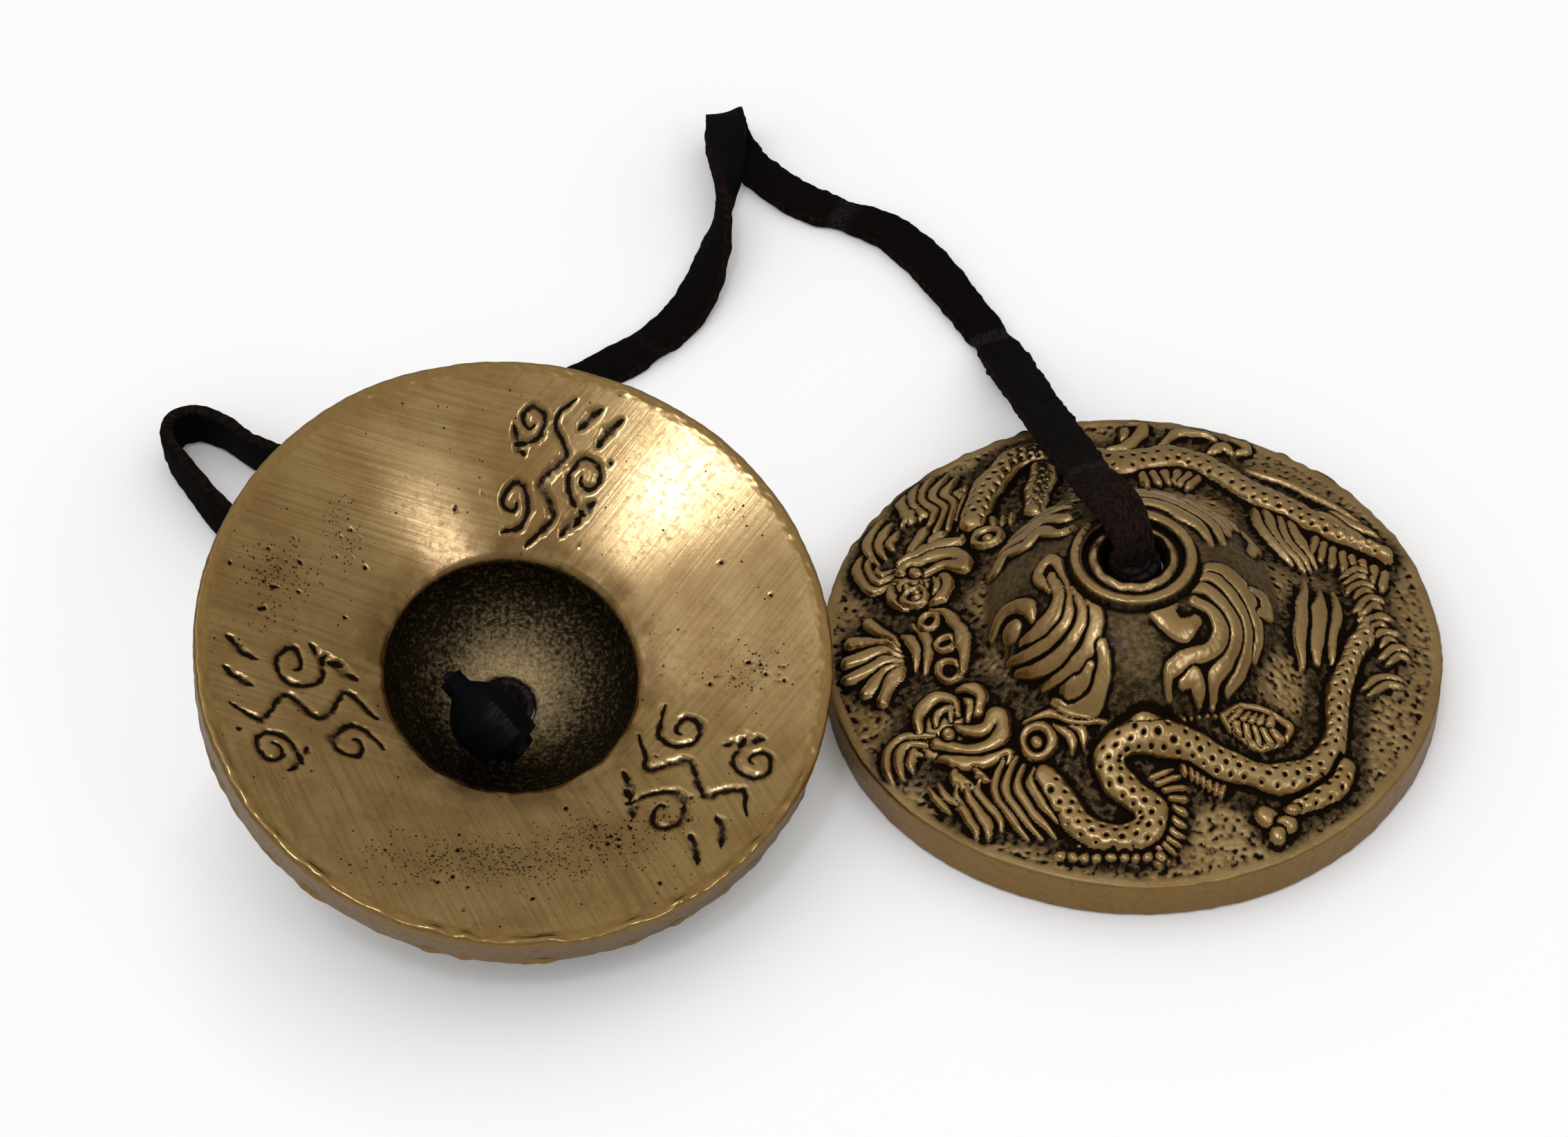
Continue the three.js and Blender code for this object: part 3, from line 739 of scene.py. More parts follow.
def cymbal(name, outside, inside):
    """A casting: the section turned about its axis, with relief on the dome side and an engraved face."""
    points, zones = cymbal_section()
    ahead = np.roll(points, -1, axis=0) - np.roll(points, 1, axis=0)
    normal = np.stack([ahead[:, 1], -ahead[:, 0]], 1)
    normal /= np.linalg.norm(normal, axis=1, keepdims=True)
    turn = np.arange(COLUMNS) * 2 * math.pi / COLUMNS
    radius = np.repeat(points[:, 0][:, None], COLUMNS, 1)
    height = np.repeat(points[:, 1][:, None], COLUMNS, 1)
    x, y = radius * np.cos(turn), radius * np.sin(turn)

    def on(*names):
        """1 in the zones of these names, and 0 elsewhere."""
        return np.repeat(np.isin(zones, names).astype(float)[:, None], COLUMNS, 1)

    on_outside, on_face, on_rim, on_cup = on("outside", "ring"), on("face"), on("rim"), on("cup")
    push = on_outside * outside.sampled(x, y) * fade(radius, HOLE_RADIUS, HOLE_RADIUS + 0.4)
    push += on_face * inside.sampled(x, -y) * (1 - fade(radius, *ENGRAVING_END))
    push += on_cup * 0.05 * outside.sampled(x, y, outside.lumps)

    # Hand filing: the rim is a little out of round, its edges are uneven, and part of the face has a burr
    near_rim = fade(radius, 29.5, RIM_RADIUS - 0.4)
    round_wobble = OUT_OF_ROUND * wavy(34) + RIM_RIPPLE * wavy(7)
    level_wobble = OUT_OF_LEVEL * wavy(22)
    burr = fade(np.cos(turn - BURR_BEARING), -0.1, 0.6) * np.clip(0.6 + 0.5 * wavy(2), 0, 2)
    at_edge = np.exp(-((radius - 31.9) / 0.35) ** 2) * (height < 0.5)
    at_edge += np.exp(-((radius - 32.3) / 0.3) ** 2) * (height > 4.2)
    push += on_rim * (at_edge * (BURR_HEIGHT * burr - 0.05) + CASTING_GRAIN * unevenness(radius.shape, 1))
    push -= on_face * 0.14 * burr * np.exp(-((radius - 31.1) / 0.22) ** 2)

    radius = radius + push * normal[:, 0][:, None] + near_rim * round_wobble
    height = height + push * normal[:, 1][:, None] + near_rim * on_outside * level_wobble
    vertices = np.stack([radius * np.cos(turn), radius * np.sin(turn), height], -1).reshape(-1, 3)

    recess = on_outside * outside.sampled(x, y, outside.recess())
    recess += 1.4 * on_face * inside.sampled(x, -y, inside.recess(0.5))
    crest = np.exp(-((radius - RING_CREST) / 0.55) ** 4) + 0.7 * np.exp(-((radius - LIP_CREST) / 0.4) ** 4)
    at_ring = (np.abs(radius - RING_FOOT) < 2.0) * (on_outside > 0)
    # Closeness to the relief: it sets the painted shade on the low ground round the strokes, and how brown
    # that ground is
    relief_shade_and_ground = fade(blurred(np.maximum(outside.height, 0), 22), 0.02, 0.2)
    ground = np.maximum(relief_shade_and_ground, 0.8 * (1 - fade(outside.radius, DOME_RADIUS - 1, DOME_RADIUS + 1)))
    in_cup = on_cup * (1 - fade(radius, 13.0, 13.35))
    attributes = {
        "recess": np.where(at_ring, 0.15 * (1 - 1.6 * crest), recess),
        "relief": np.where(at_ring, 0.4 * crest, on_outside * outside.sampled(x, y)),
        "relief_shade_and_ground": on_outside * outside.sampled(x, y, relief_shade_and_ground),
        "ground": on_outside * outside.sampled(x, y, ground),
        "pitting": on_face * inside.sampled(x, -y, inside.pitting),
        # Painted glow and shade in the cup: 0 round a spot near its middle, painted gold, rising to 1,
        # painted dark, towards its edge
        "cup_glow_and_shade": on_cup * fade(np.hypot(x - 0.5, y + 1.6), -2.5, 11.0),
        "cup": in_cup,
        "face": np.maximum(on_face, on_cup - in_cup),
        "rim": on_rim,
        "cup_side": on_face * (1 - fade(radius, 13.6, 17.5)),
        "outside": on_outside,
    }
    attributes = {label: values.ravel() for label, values in attributes.items()}
    attributes["place"] = np.stack([x, y, height], -1).reshape(-1, 3)
    quads, _ = facing_out(vertices, grid_quads(len(points), COLUMNS, close_rows=True))
    return make_mesh(name, vertices, quads, attributes)


# ---------------------------------------------------------------- strap

def laid(x, y, roll=0):
    """A stop where the strap lies on the table, at the height its roll gives it."""
    upright = abs(math.sin(math.radians(roll))) * STRAP_WIDTH / 2
    level = abs(math.cos(math.radians(roll))) * STRAP_THICKNESS / 2
    return (x, y, upright + level + TABLE_GAP, roll)


# The strap's stops from the right cymbal's centre: x, y, z and roll, the same as the frame's
MOUTH_HEIGHT = RING_TOP + MOUTH
RIGHT_LEG = [
    (0, 0, MOUTH_HEIGHT, 0), (-0.3, 1.0, 20.7, 0), (-1.1, 3.6, 21.5, 0), (-3.5, 11.4, 18.9, 0),
    (-6.6, 30.0, 9.9, 0), (-10.0, 49.7, 1.15, 0), laid(-12.7, 56.0), laid(-16.2, 63.4), laid(-20.6, 69.6),
    laid(-25.8, 73.2), laid(-29.6, 75.4), laid(-33.4, 79.0), laid(-37.2, 84.2), laid(-38.8, 88.6),
]
FOLD = [(-39.0, 89.4, 1.43), (-39.25, 89.8, 2.575), (-39.5, 89.4, 3.72)]
FOLD_CUTS = (-4.4, 4.0)
LEFT_LEG = [
    (-39.5, 88.6, 4.2, 0), (-39.7, 83.6, 4.2, 20), (-40.3, 75.2, 3.2, 85), laid(-41.4, 69.0, 130),
    laid(-43.6, 61.6, 165), laid(-46.4, 56.8, 180), laid(-50.2, 53.0, 180), laid(-55.2, 49.6, 180),
    laid(-65.0, 44.0, 145), laid(-75.0, 38.8, 110), laid(-84.0, 35.4, 90), laid(-89.6, 35.4, 90),
    laid(-94.6, 37.8, 90), laid(-98.8, 41.8, 90), laid(-101.9, 43.4, 90), laid(-104.4, 42.4, 90),
    laid(-104.7, 39.6, 90), laid(-102.9, 35.8, 95), laid(-99.0, 29.6, 100), laid(-92.0, 20.5, 130),
    laid(-84.0, 12.5, 160), laid(-76.0, 5.9, 180), laid(-70.4, 1.2, 180), (-67.7, -1.3, 1.1, 180),
]


def across_at(stops, index):
    """The direction across the strap at one of its stops."""
    before = Vector(stops[max(index - 1, 0)][:3])
    after = Vector(stops[min(index + 1, len(stops) - 1)][:3])
    run = after - before
    level = Vector((run.y, -run.x, 0)).normalized()
    upright = level.cross(run).normalized()
    roll = math.radians(stops[index][3])
    return level * math.cos(roll) + upright * math.sin(roll)


def strap_path():
    """The strap's middle line and the direction across it, from one knot to the other, at even spacing."""
    left_mouth = LEFT_FACE_CENTRE - MOUTH_HEIGHT * LEFT_NORMAL - RIGHT_CENTRE
    left_leg = LEFT_LEG + [(*left_mouth, 180)]
    first_side, fold_side = across_at(RIGHT_LEG, 0), across_at(RIGHT_LEG, len(RIGHT_LEG) - 1)
    last_side = -across_at(left_leg, len(left_leg) - 1)
    stops = [((0, 0, MOUTH_HEIGHT - depth), first_side) for depth in MOUTH_DEPTHS]
    stops += [(stop[:3], across_at(RIGHT_LEG, i)) for i, stop in enumerate(RIGHT_LEG)]
    stops += [(stop, fold_side) for stop in FOLD]
    stops += [(stop[:3], -across_at(left_leg, i)) for i, stop in enumerate(left_leg)]
    stops += [(left_mouth + depth * LEFT_NORMAL, last_side) for depth in reversed(MOUTH_DEPTHS)]
    middle = np.array([tuple(place) for place, _ in stops], float) + np.array(RIGHT_CENTRE)
    return spaced(middle, np.array([tuple(side) for _, side in stops]), RING_SPACING)


def spaced(middle, across, spacing):
    """A centripetal curve through the stops, at even spacing, with the across directions turned along it."""
    gaps = np.sqrt(np.linalg.norm(np.diff(middle, axis=0), axis=1))
    knots = np.concatenate([[0], np.cumsum(gaps)])
    between = [np.linspace(a, b, 40, endpoint=False) for a, b in zip(knots, knots[1:])]
    fine_knots = np.concatenate([*between, knots[-1:]])
    fine = hermite(knots, middle, fine_knots)
    length = travelled(fine)
    places = np.linspace(0, length[-1], round(length[-1] / spacing) + 1)
    line = np.stack([blurred(column, 2) for column in read_at(places, length, fine).T], 1)
    side = read_at(places, length, hermite(knots, across, fine_knots))
    ahead = np.gradient(line, axis=0)
    ahead /= np.linalg.norm(ahead, axis=1, keepdims=True)
    side -= ahead * np.sum(side * ahead, axis=1, keepdims=True)
    side /= np.linalg.norm(side, axis=1, keepdims=True)
    return places, line, ahead, side


def strap_outline():
    """Points round the strap's section as (across, through), and the kind of surface at each: 1 on the grain
    side, -1 on the flesh side and 0 on the cut edges. The second half is the first one turned half round."""
    inner, upper = CUT_WIDTH / 2 - STRAP_CORNER, STRAP_THICKNESS / 2 - STRAP_CORNER
    half = [(-share * inner, STRAP_THICKNESS / 2, 1) for share in np.linspace(-0.75, 0.75, 7)]
    for bend in (15, 50, 80, 90, 100, 130, 165):
        turn = math.radians(90 + bend)
        level = upper * np.sign(90 - bend)
        x, y = STRAP_CORNER * math.cos(turn) - inner, STRAP_CORNER * math.sin(turn) + level
        half.append((x, y, 1 - bend / 90))
    half = np.array(half)
    whole = np.concatenate([half, -half])
    return whole[:, :2], whole[:, 2]


def strap_rings(places, line, ahead, side, creases):
    """All the strap's rings of points, roughened as cut leather is, and what its finish reads at them."""
    outline, kind = strap_outline()
    rings, points = shape = len(places), len(outline)

    def rough(reach_along, reach_round):
        noise = random.standard_normal(shape)
        noise = np.stack([blurred(column, reach_along) for column in noise.T], 1)
        if reach_round:
            noise = np.stack([blurred(ring, reach_round, wrap=True) for ring in noise])
        return noise / noise.std()

    on_edge, on_flesh = np.clip(1 - np.abs(kind), 0, 1), np.clip(-kind, 0, 1)
    swell = 0.10 * rough(2, 0) * on_edge + 0.05 * rough(1, 0) * on_flesh + 0.018 * rough(1, 0)
    swell += 0.05 * rough(12, 2)
    width = np.clip(1 + 0.02 * blurred(random.standard_normal(rings), 20) / 0.15, 0.93, 1.07)
    # The creases pinch the strap; the same pinch sets the wear and the painted highlight at each crease
    pinch = np.zeros(rings)
    for place, reach, amount in creases:
        pinch = np.maximum(pinch, amount * np.exp(-((places - place) / reach) ** 2))
    gathered = 1 - fade(np.minimum(places, places[-1] - places), 3.0, 12.0)
    width = width * (1 - STRAP_PINCH * gathered)
    across = outline[:, 0] * (width * (1 - STRAP_PINCH * pinch))[:, None]
    up = outline[:, 1] * (1 - STRAP_PINCH * pinch)[:, None]
    cupping = (outline[:, 0] / (STRAP_WIDTH / 2)) ** 2 - 0.5
    up = up + cupping * (0.1 - 0.5 * gathered)[:, None]
    length = np.hypot(across, up * 2) + 1e-9
    across = across + swell * across / length
    up = up + swell * 2 * up / length
    wrinkle = 0.05 * np.sin(places * 2 * math.pi / WRINKLE_SPACING) * pinch
    up = up + wrinkle[:, None] * (np.abs(kind) > 0.5)
    through = np.cross(ahead, side)
    vertices = line[:, None] + across[..., None] * side[:, None] + up[..., None] * through[:, None]
    # Painted sheen: the first length out of the right knot, which rises into the light, is painted a lighter
    # brown
    columns = {"along": places, "wear_and_sheen": pinch, "riser_brown_sheen": 1 - fade(places, 8.0, 26.0)}
    attributes = {label: np.broadcast_to(values[:, None], shape) for label, values in columns.items()}
    attributes["across"] = np.broadcast_to(outline[:, 0], shape)
    attributes["grain"] = np.broadcast_to(kind, shape)
    return vertices, attributes


# The strap's lengths: name, the joint in it, how far from there it bends, and the CAD solids it replaces
STRAP_LENGTHS = [
    ("strap_right_mouth", "right_mouth_tilt", 1.6, ["strap_right_riser"]),
    ("strap_right_inner_crease", "right_inner_bend", 2.2, ["strap_right_slope"]),
    ("strap_right_outer_crease", "right_outer_bend", 2.4, ["strap_right_run"]),
    ("strap_right_kink", "right_kink_bend", 2.4, ["strap_crown"]),
    ("strap_crown_fold", "crown_fold", 1.0, []),
    ("strap_left_twist", "left_twist", 7.0, ["strap_left_flap", "strap_left_leg"]),
    ("strap_left_crease", "left_crease_bend", 2.4, ["strap_left_run"]),
    ("strap_left_loop_start", "left_loop_in_bend", 4.0, ["strap_left_loop"]),
    ("strap_left_loop_end", "left_loop_out_bend", 4.0, ["strap_left_neck"]),
    ("strap_left_mouth", "left_mouth_tilt", 1.6, []),
]


def build_strap(leather):
    """The strap as ten lengths that meet end to end, each bending about the one joint in it."""
    places, line, ahead, side = strap_path()

    def nearest(point):
        return places[np.argmin(np.linalg.norm(line - np.array(point), axis=1))]

    def index_at(place):
        return int(np.argmin(np.abs(places - place)))

    hinge = {joint: nearest(joint_point(joint)) for _, joint, _, _ in STRAP_LENGTHS}
    fold_top = nearest(RIGHT_CENTRE + Vector(FOLD[1]))
    arch = nearest(RIGHT_CENTRE + Vector(RIGHT_LEG[2][:3]))
    creases = [
        (hinge["right_inner_bend"], 1.6, 0.7),
        (hinge["right_outer_bend"], 1.6, 1.0),
        (hinge["right_kink_bend"], 2.0, 0.8),
        (fold_top, 2.6, 0.7),
        (hinge["left_crease_bend"], 1.8, 0.5),
    ]
    vertices, attributes = strap_rings(places, line, ahead, side, creases)

    # Cut half way between joints, but at the top of the arch and a little to each side of the fold
    bends = list(hinge.values())
    cuts = [places[0], *((a + b) / 2 for a, b in zip(bends, bends[1:])), places[-1]]
    cuts[1], cuts[4:6] = arch, [fold_top + offset for offset in FOLD_CUTS]
    indices = [index_at(cut) for cut in cuts]
    for (name, joint, reach, stands_for), first, last in zip(STRAP_LENGTHS, indices, indices[1:]):
        own = {label: values[first:last + 1] for label, values in attributes.items()}
        piece = capped_mesh(name, vertices[first:last + 1], own)
        piece.data.materials.append(leather)
        if joint == "crown_fold":
            start, end = (joint_point(joint) + Vector((0, 0, rise)) for rise in (-0.8, 0.8))
        else:
            start, end = (Vector(line[index_at(hinge[joint] + way * reach)]) for way in (-1, 1))
        bodies = (joints[joint]["parent"], joints[joint]["child"])
        order = bodies[::-1] if joint.startswith("right") else bodies
        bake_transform(piece, *order, start=start * MM, end=end * MM)
        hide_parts(*stands_for)


# ---------------------------------------------------------------- knots

ROLL_ROUND = 180
ROLL_ALONG = 46

# A rolled piece of the knot: the ends of its axis in the cymbal's own frame, its turns, and its outer radius
# and the leather's thickness at shares of its length
CONE = {
    "start": Vector((-0.3, 6.3, CUP_CEILING - 5.1)),
    "end": Vector((-6.4, 0.3, CUP_CEILING - 7.9)),
    "turns": 2.3,
    "radius": ([0, 0.12, 0.35, 0.5, 0.62, 0.72, 0.82, 1.0], [3.95, 4.15, 4.45, 4.1, 3.6, 2.8, 1.8, 1.4]),
    "thickness": ([0, 0.5, 1], [1.15, 1.0, 0.5]),
    "slide": 2.2,
    "opens": -0.3,
}
THROAT = {
    "start": Vector((0.0, 0.0, RING_TOP - 0.9)),
    "end": Vector((0.0, 0.05, CUP_CEILING + 0.6)),
    "turns": 6.4,
    "radius": ([0, 1.0], [3.05, 3.05]),
    "thickness": ([0, 1], [0.42, 0.42]),
    "slide": 0.2,
    "opens": 0.8,
}


def rolled(name, place, shape):
    """A strip of leather rolled on itself round an axis."""
    axis = (shape["end"] - shape["start"]).normalized()
    length = (shape["end"] - shape["start"]).length
    upper = (Vector((0, 0, -1)) + axis.z * axis).normalized()
    wound = np.linspace(0, 1, ROLL_ROUND)[:, None]
    share = np.linspace(0, 1, ROLL_ALONG)[None, :]
    turn = (wound * shape["turns"] + shape["opens"]) * 2 * math.pi
    wall = np.interp(share, *shape["thickness"])
    radius = np.interp(share, *shape["radius"]) - wall * (0.5 + (1 - wound) * shape["turns"] * 1.02)
    radius = np.maximum(radius, 0.28 + 0.25 * wound)
    slide = -shape["slide"] * (1 - wound) * (1 - share) + 0.35 * np.sin(turn * 0.5) * share
    noise = random.standard_normal((ROLL_ROUND, ROLL_ALONG))
    rough, soft = (blurred(noise, reach) for reach in (1, 6))
    swell = 0.035 * rough / rough.std() + 0.06 * soft / soft.std()

    def surface(sign):
        """The strip's outer surface for a sign of 1, and its inner one for -1."""
        reach = radius + sign * (wall * 0.46 + swell)
        return np.stack([reach * np.cos(turn), reach * np.sin(turn), share * length + slide], -1)

    section = np.concatenate([surface(1), surface(-1)[:, ::-1]], axis=1)
    vertices = section @ np.array([upper, axis.cross(upper), axis]) + np.array(shape["start"])
    vertices = vertices @ np.array(place.to_3x3()).T + np.array(place.translation)
    far = np.concatenate([share[0], share[0][::-1]])
    kind = np.repeat([1.0, -1.0], ROLL_ALONG)
    kind[[0, ROLL_ALONG - 1, ROLL_ALONG, -1]] = 0.35
    cut_end = (np.abs(kind) < 0.5) * (far > 0.5)
    every = np.zeros((ROLL_ROUND, 2 * ROLL_ALONG))
    # The cut end is rubbed, and soft patches over the whole roll are painted sheen
    return capped_mesh(name, vertices, {
        "along": wound * shape["turns"] * 14 + every,
        "across": far * length + every,
        "grain": kind + every,
        "wear_and_sheen": cut_end + 0.4 * np.tile(soft / soft.std(), 2),
    })


# ---------------------------------------------------------------- materials

# Where a mix node keeps its colours: it has inputs and outputs of the same name for other kinds of value
MIX_COLOUR_INPUTS = (6, 7)
MIX_COLOUR_OUTPUT = 2

STREAK_LENGTH = 22.0
STREAK_WIDTH = 0.42


class Channel:
    """A number that varies over a surface: an output of a finish's nodes, for ordinary arithmetic."""

    def __init__(self, finish, socket):
        self.finish = finish
        self.socket = socket

    def __add__(self, other):
        return self.finish.math("ADD", self, other)

    def __sub__(self, other):
        return self.finish.math("SUBTRACT", self, other)

    def __rsub__(self, other):
        return self.finish.math("SUBTRACT", other, self)

    def __mul__(self, other):
        return self.finish.math("MULTIPLY", self, other)

    __radd__, __rmul__ = __add__, __mul__

    def highest(self, other):
        return self.finish.math("MAXIMUM", self, other)

    def below(self, other):
        return self.finish.math("LESS_THAN", self, other)

    def clamped(self):
        """The same number, kept between 0 and 1."""
        self.socket.node.use_clamp = True
        return self


class Finish:
    """A short way to write a node tree that ends in one principled shader."""

    def __init__(self, name):
        self.material = bpy.data.materials.new(name)
        self.material.use_nodes = True
        self.tree = self.material.node_tree
        self.shader = self.tree.nodes["Principled BSDF"]

    def feed(self, socket, value):
        value = value.socket if isinstance(value, Channel) else value
        if isinstance(value, bpy.types.NodeSocket):
            self.tree.links.new(value, socket)
        else:
            socket.default_value = value

    def node(self, kind, inputs=None, **settings):
        made = self.tree.nodes.new(kind)
        for key, value in settings.items():
            setattr(made, key, value)
        for key, value in (inputs or {}).items():
            self.feed(made.inputs[key], value)
        return made

    def channel(self, output, kind, inputs=None, **settings):
        return Channel(self, self.node(kind, inputs, **settings).outputs[output])

    def attributes(self, *names):
        return [self.channel("Fac", "ShaderNodeAttribute", attribute_name=name) for name in names]

    def math(self, operation, first, second):
        return self.channel(0, "ShaderNodeMath", {0: first, 1: second}, operation=operation)

    def noise(self, vector, scale, detail=3.0, roughness=0.55):
        inputs = {"Vector": vector, "Scale": scale, "Detail": detail, "Roughness": roughness}
        return self.channel("Fac", "ShaderNodeTexNoise", inputs)

    def streaks(self, vector, bearing):
        """Noise drawn out into parallel streaks along a bearing in degrees."""
        rotation = (0, 0, math.radians(bearing))
        scale = (STREAK_LENGTH, STREAK_WIDTH, STREAK_LENGTH)
        inputs = {"Vector": vector, "Rotation": rotation, "Scale": scale}
        turned = self.node("ShaderNodeMapping", inputs, vector_type="TEXTURE")
        return self.noise(turned.outputs[0], 1.0, 4, 0.65)

    def ramp(self, value, low, high, start=0.0, end=1.0):
        """A smooth step from start, where the value is low, to end, where it is high."""
        inputs = {"Value": value, "From Min": low, "From Max": high, "To Min": start, "To Max": end}
        return self.channel("Result", "ShaderNodeMapRange", inputs, interpolation_type="SMOOTHSTEP")

    def between(self, share, first, second):
        return self.channel("Result", "ShaderNodeMix", {"Factor": share, "A": first, "B": second})

    def colour(self, share, first, second):
        """A mix of two colours, each one a triple or the output of a node."""
        mix = self.node("ShaderNodeMix", {"Factor": share}, data_type="RGBA")
        for place, value in zip(MIX_COLOUR_INPUTS, (first, second)):
            self.feed(mix.inputs[place], value if isinstance(value, bpy.types.NodeSocket) else (*value, 1))
        return mix.outputs[MIX_COLOUR_OUTPUT]

    def bump(self, height, distance, strength, normal=None):
        inputs = {"Height": height, "Distance": distance * MM, "Strength": strength}
        if normal is not None:
            inputs["Normal"] = normal
        return self.node("ShaderNodeBump", inputs).outputs["Normal"]

    def done(self, **inputs):
        for key, value in inputs.items():
            label = key.replace("_", " ").title().replace("Ior", "IOR")
            self.feed(self.shader.inputs[label], value)
        return self.material


BRIGHT_BRASS = (0.64, 0.42, 0.155)
WARM_BRASS = (0.50, 0.295, 0.095)
RIM_BRASS = (0.50, 0.30, 0.09)
STAIN_BROWN = (0.26, 0.14, 0.04)
GROUND_BROWN = (0.13, 0.085, 0.036)
# Black for the patina in the recesses, and for the painted shade round the relief
PATINA_AND_SHADE_BLACK = (0.018, 0.011, 0.006)
# The cup's painted glow, and its painted shade
CUP_GLOW_GOLD = (0.86, 0.62, 0.28)
CUP_SHADE_DARK = (0.032, 0.023, 0.012)


def brass_finish():
    """Cast brass: bright where it is rubbed or brushed, dark in the recesses and with painted shade round the
    relief, rough in the cup, with a painted gold glow in its middle that turns to painted brown shade towards
    its edge.
    """
    finish = Finish("cast_brass")
    place = finish.node("ShaderNodeAttribute", attribute_name="place").outputs["Vector"]
    recess, relief, relief_shade_and_ground, ground = finish.attributes("recess", "relief", "relief_shade_and_ground", "ground")
    outside, face, rim, cup = finish.attributes("outside", "face", "rim", "cup")
    cup_side, pitting, cup_glow_and_shade = finish.attributes("cup_side", "pitting", "cup_glow_and_shade")
    mottle = finish.noise(place, 1.4, 5, 0.7)
    speck = finish.noise(place, 5.0, 4, 0.7)
    pebble = finish.noise(place, 2.3, 4, 0.65)

    # Black patina in the recesses, painted shade on the low ground close round the relief, and brown on the
    # ground between the strokes
    level = finish.ramp(relief, 0.0, 0.3, 1.0, 0.0)
    brown = outside * level * finish.ramp(ground, 0.0, 1.0, 0.1, 1.0)
    brown = brown * finish.ramp(mottle, 0.35, 0.62, 0.75, 1.0)
    # Painted shade: the low ground near the relief is darkened, as if shade fell there
    painted_shade = relief_shade_and_ground * level * finish.ramp(mottle, 0.38, 0.62, 0.15, 0.75)
    patina_and_shade = finish.ramp(recess + (mottle - 0.5) * 0.2, -0.01, 0.13).highest(painted_shade)

    # Fine pits: some of the cells of a pattern, more of them where the pitting is thick
    cells = finish.node("ShaderNodeTexVoronoi", {"Vector": place, "Scale": 3.2})
    chance = finish.node("ShaderNodeSeparateColor", {"Color": cells.outputs["Color"]})
    chosen = Channel(finish, chance.outputs["Red"]).below(pitting)
    size = Channel(finish, chance.outputs["Green"]) * 0.32 + 0.18
    pit = chosen * Channel(finish, cells.outputs["Distance"]).below(size)
    patina_and_shade = patina_and_shade.highest(pit * 0.85)

    # Left by brushing: level streaks at one side, diagonal ones at the other, upright ones at the bottom
    parts = finish.node("ShaderNodeSeparateXYZ", {"Vector": place})
    x, y = (Channel(finish, parts.outputs[axis]) for axis in "XY")
    drift = (finish.noise(place, 0.05, 2) - 0.5) * 30.0
    brush = finish.between(
        finish.ramp(x + drift, -5.0, 7.0), finish.streaks(place, 10), finish.streaks(place, -48)
    )
    brush = finish.between(finish.ramp(y + drift, 8.0, 16.0), brush, finish.streaks(place, 68))

    cloud = finish.ramp(finish.noise(place, 0.16, 4), 0.35, 0.7)
    stain = finish.ramp(finish.noise(place, 0.3, 4), 0.42, 0.62)
    # Painted glow and shade in the cup, broken up by random mottling
    cup_glow_and_shade = (cup_glow_and_shade + (0.52 - pebble) * 1.4 + (0.5 - mottle) * 0.7).clamped()
    tone = finish.colour(cloud, BRIGHT_BRASS, WARM_BRASS)
    tone = finish.colour(face * finish.ramp(brush, 0.4, 0.66, 0.0, 0.4), tone, STAIN_BROWN)
    tone = finish.colour(pitting * 0.3, tone, STAIN_BROWN)
    tone = finish.colour(rim * 0.8, tone, RIM_BRASS)
    tone = finish.colour(brown, tone, GROUND_BROWN)
    tone = finish.colour(cup_side * stain * 0.7, tone, STAIN_BROWN)
    tone = finish.colour(cup, tone, finish.colour(cup_glow_and_shade, CUP_GLOW_GOLD, CUP_SHADE_DARK))

    normal = finish.bump(face.highest(rim * 0.6) * brush, 0.025, 0.6)
    grit = pebble * cup * 3.0 + speck * outside * (level * 0.8 + 0.2)
    normal = finish.bump(grit, 0.14, 0.6, normal)
    normal = finish.bump(pit * -1.0, 0.12, 0.6, normal)
    dirt_and_shade = patina_and_shade.highest(brown)
    polished = 1.0 - dirt_and_shade.highest(cup)
    rough = finish.ramp(mottle, 0.3, 0.7, 0.2, 0.27) + outside * 0.06
    return finish.done(
        base_color=finish.colour(patina_and_shade, tone, PATINA_AND_SHADE_BLACK),
        metallic=1.0 - patina_and_shade * 0.5,
        roughness=(rough + dirt_and_shade * 0.34 + cup * 0.18).clamped(),
        normal=normal,
        coat_weight=polished * (outside * 0.18 + 0.42),
        coat_roughness=0.2,
        specular_ior_level=polished * 0.5,
    )


GRAIN_BLACK = (0.0035, 0.0032, 0.0038)
FLESH_BROWN = (0.006, 0.0035, 0.0025)
EDGE_BROWN = (0.03, 0.015, 0.009)
DUST_BROWN = (0.035, 0.02, 0.013)
# A lighter brown, painted as sheen on the length that rises out of the right knot
RISER_SHEEN_BROWN = (0.042, 0.022, 0.014)
# Grey for scuffs, and for painted highlight at the creases and painted sheen on the knots
SCUFF_AND_SHEEN_GREY = (0.07, 0.06, 0.052)


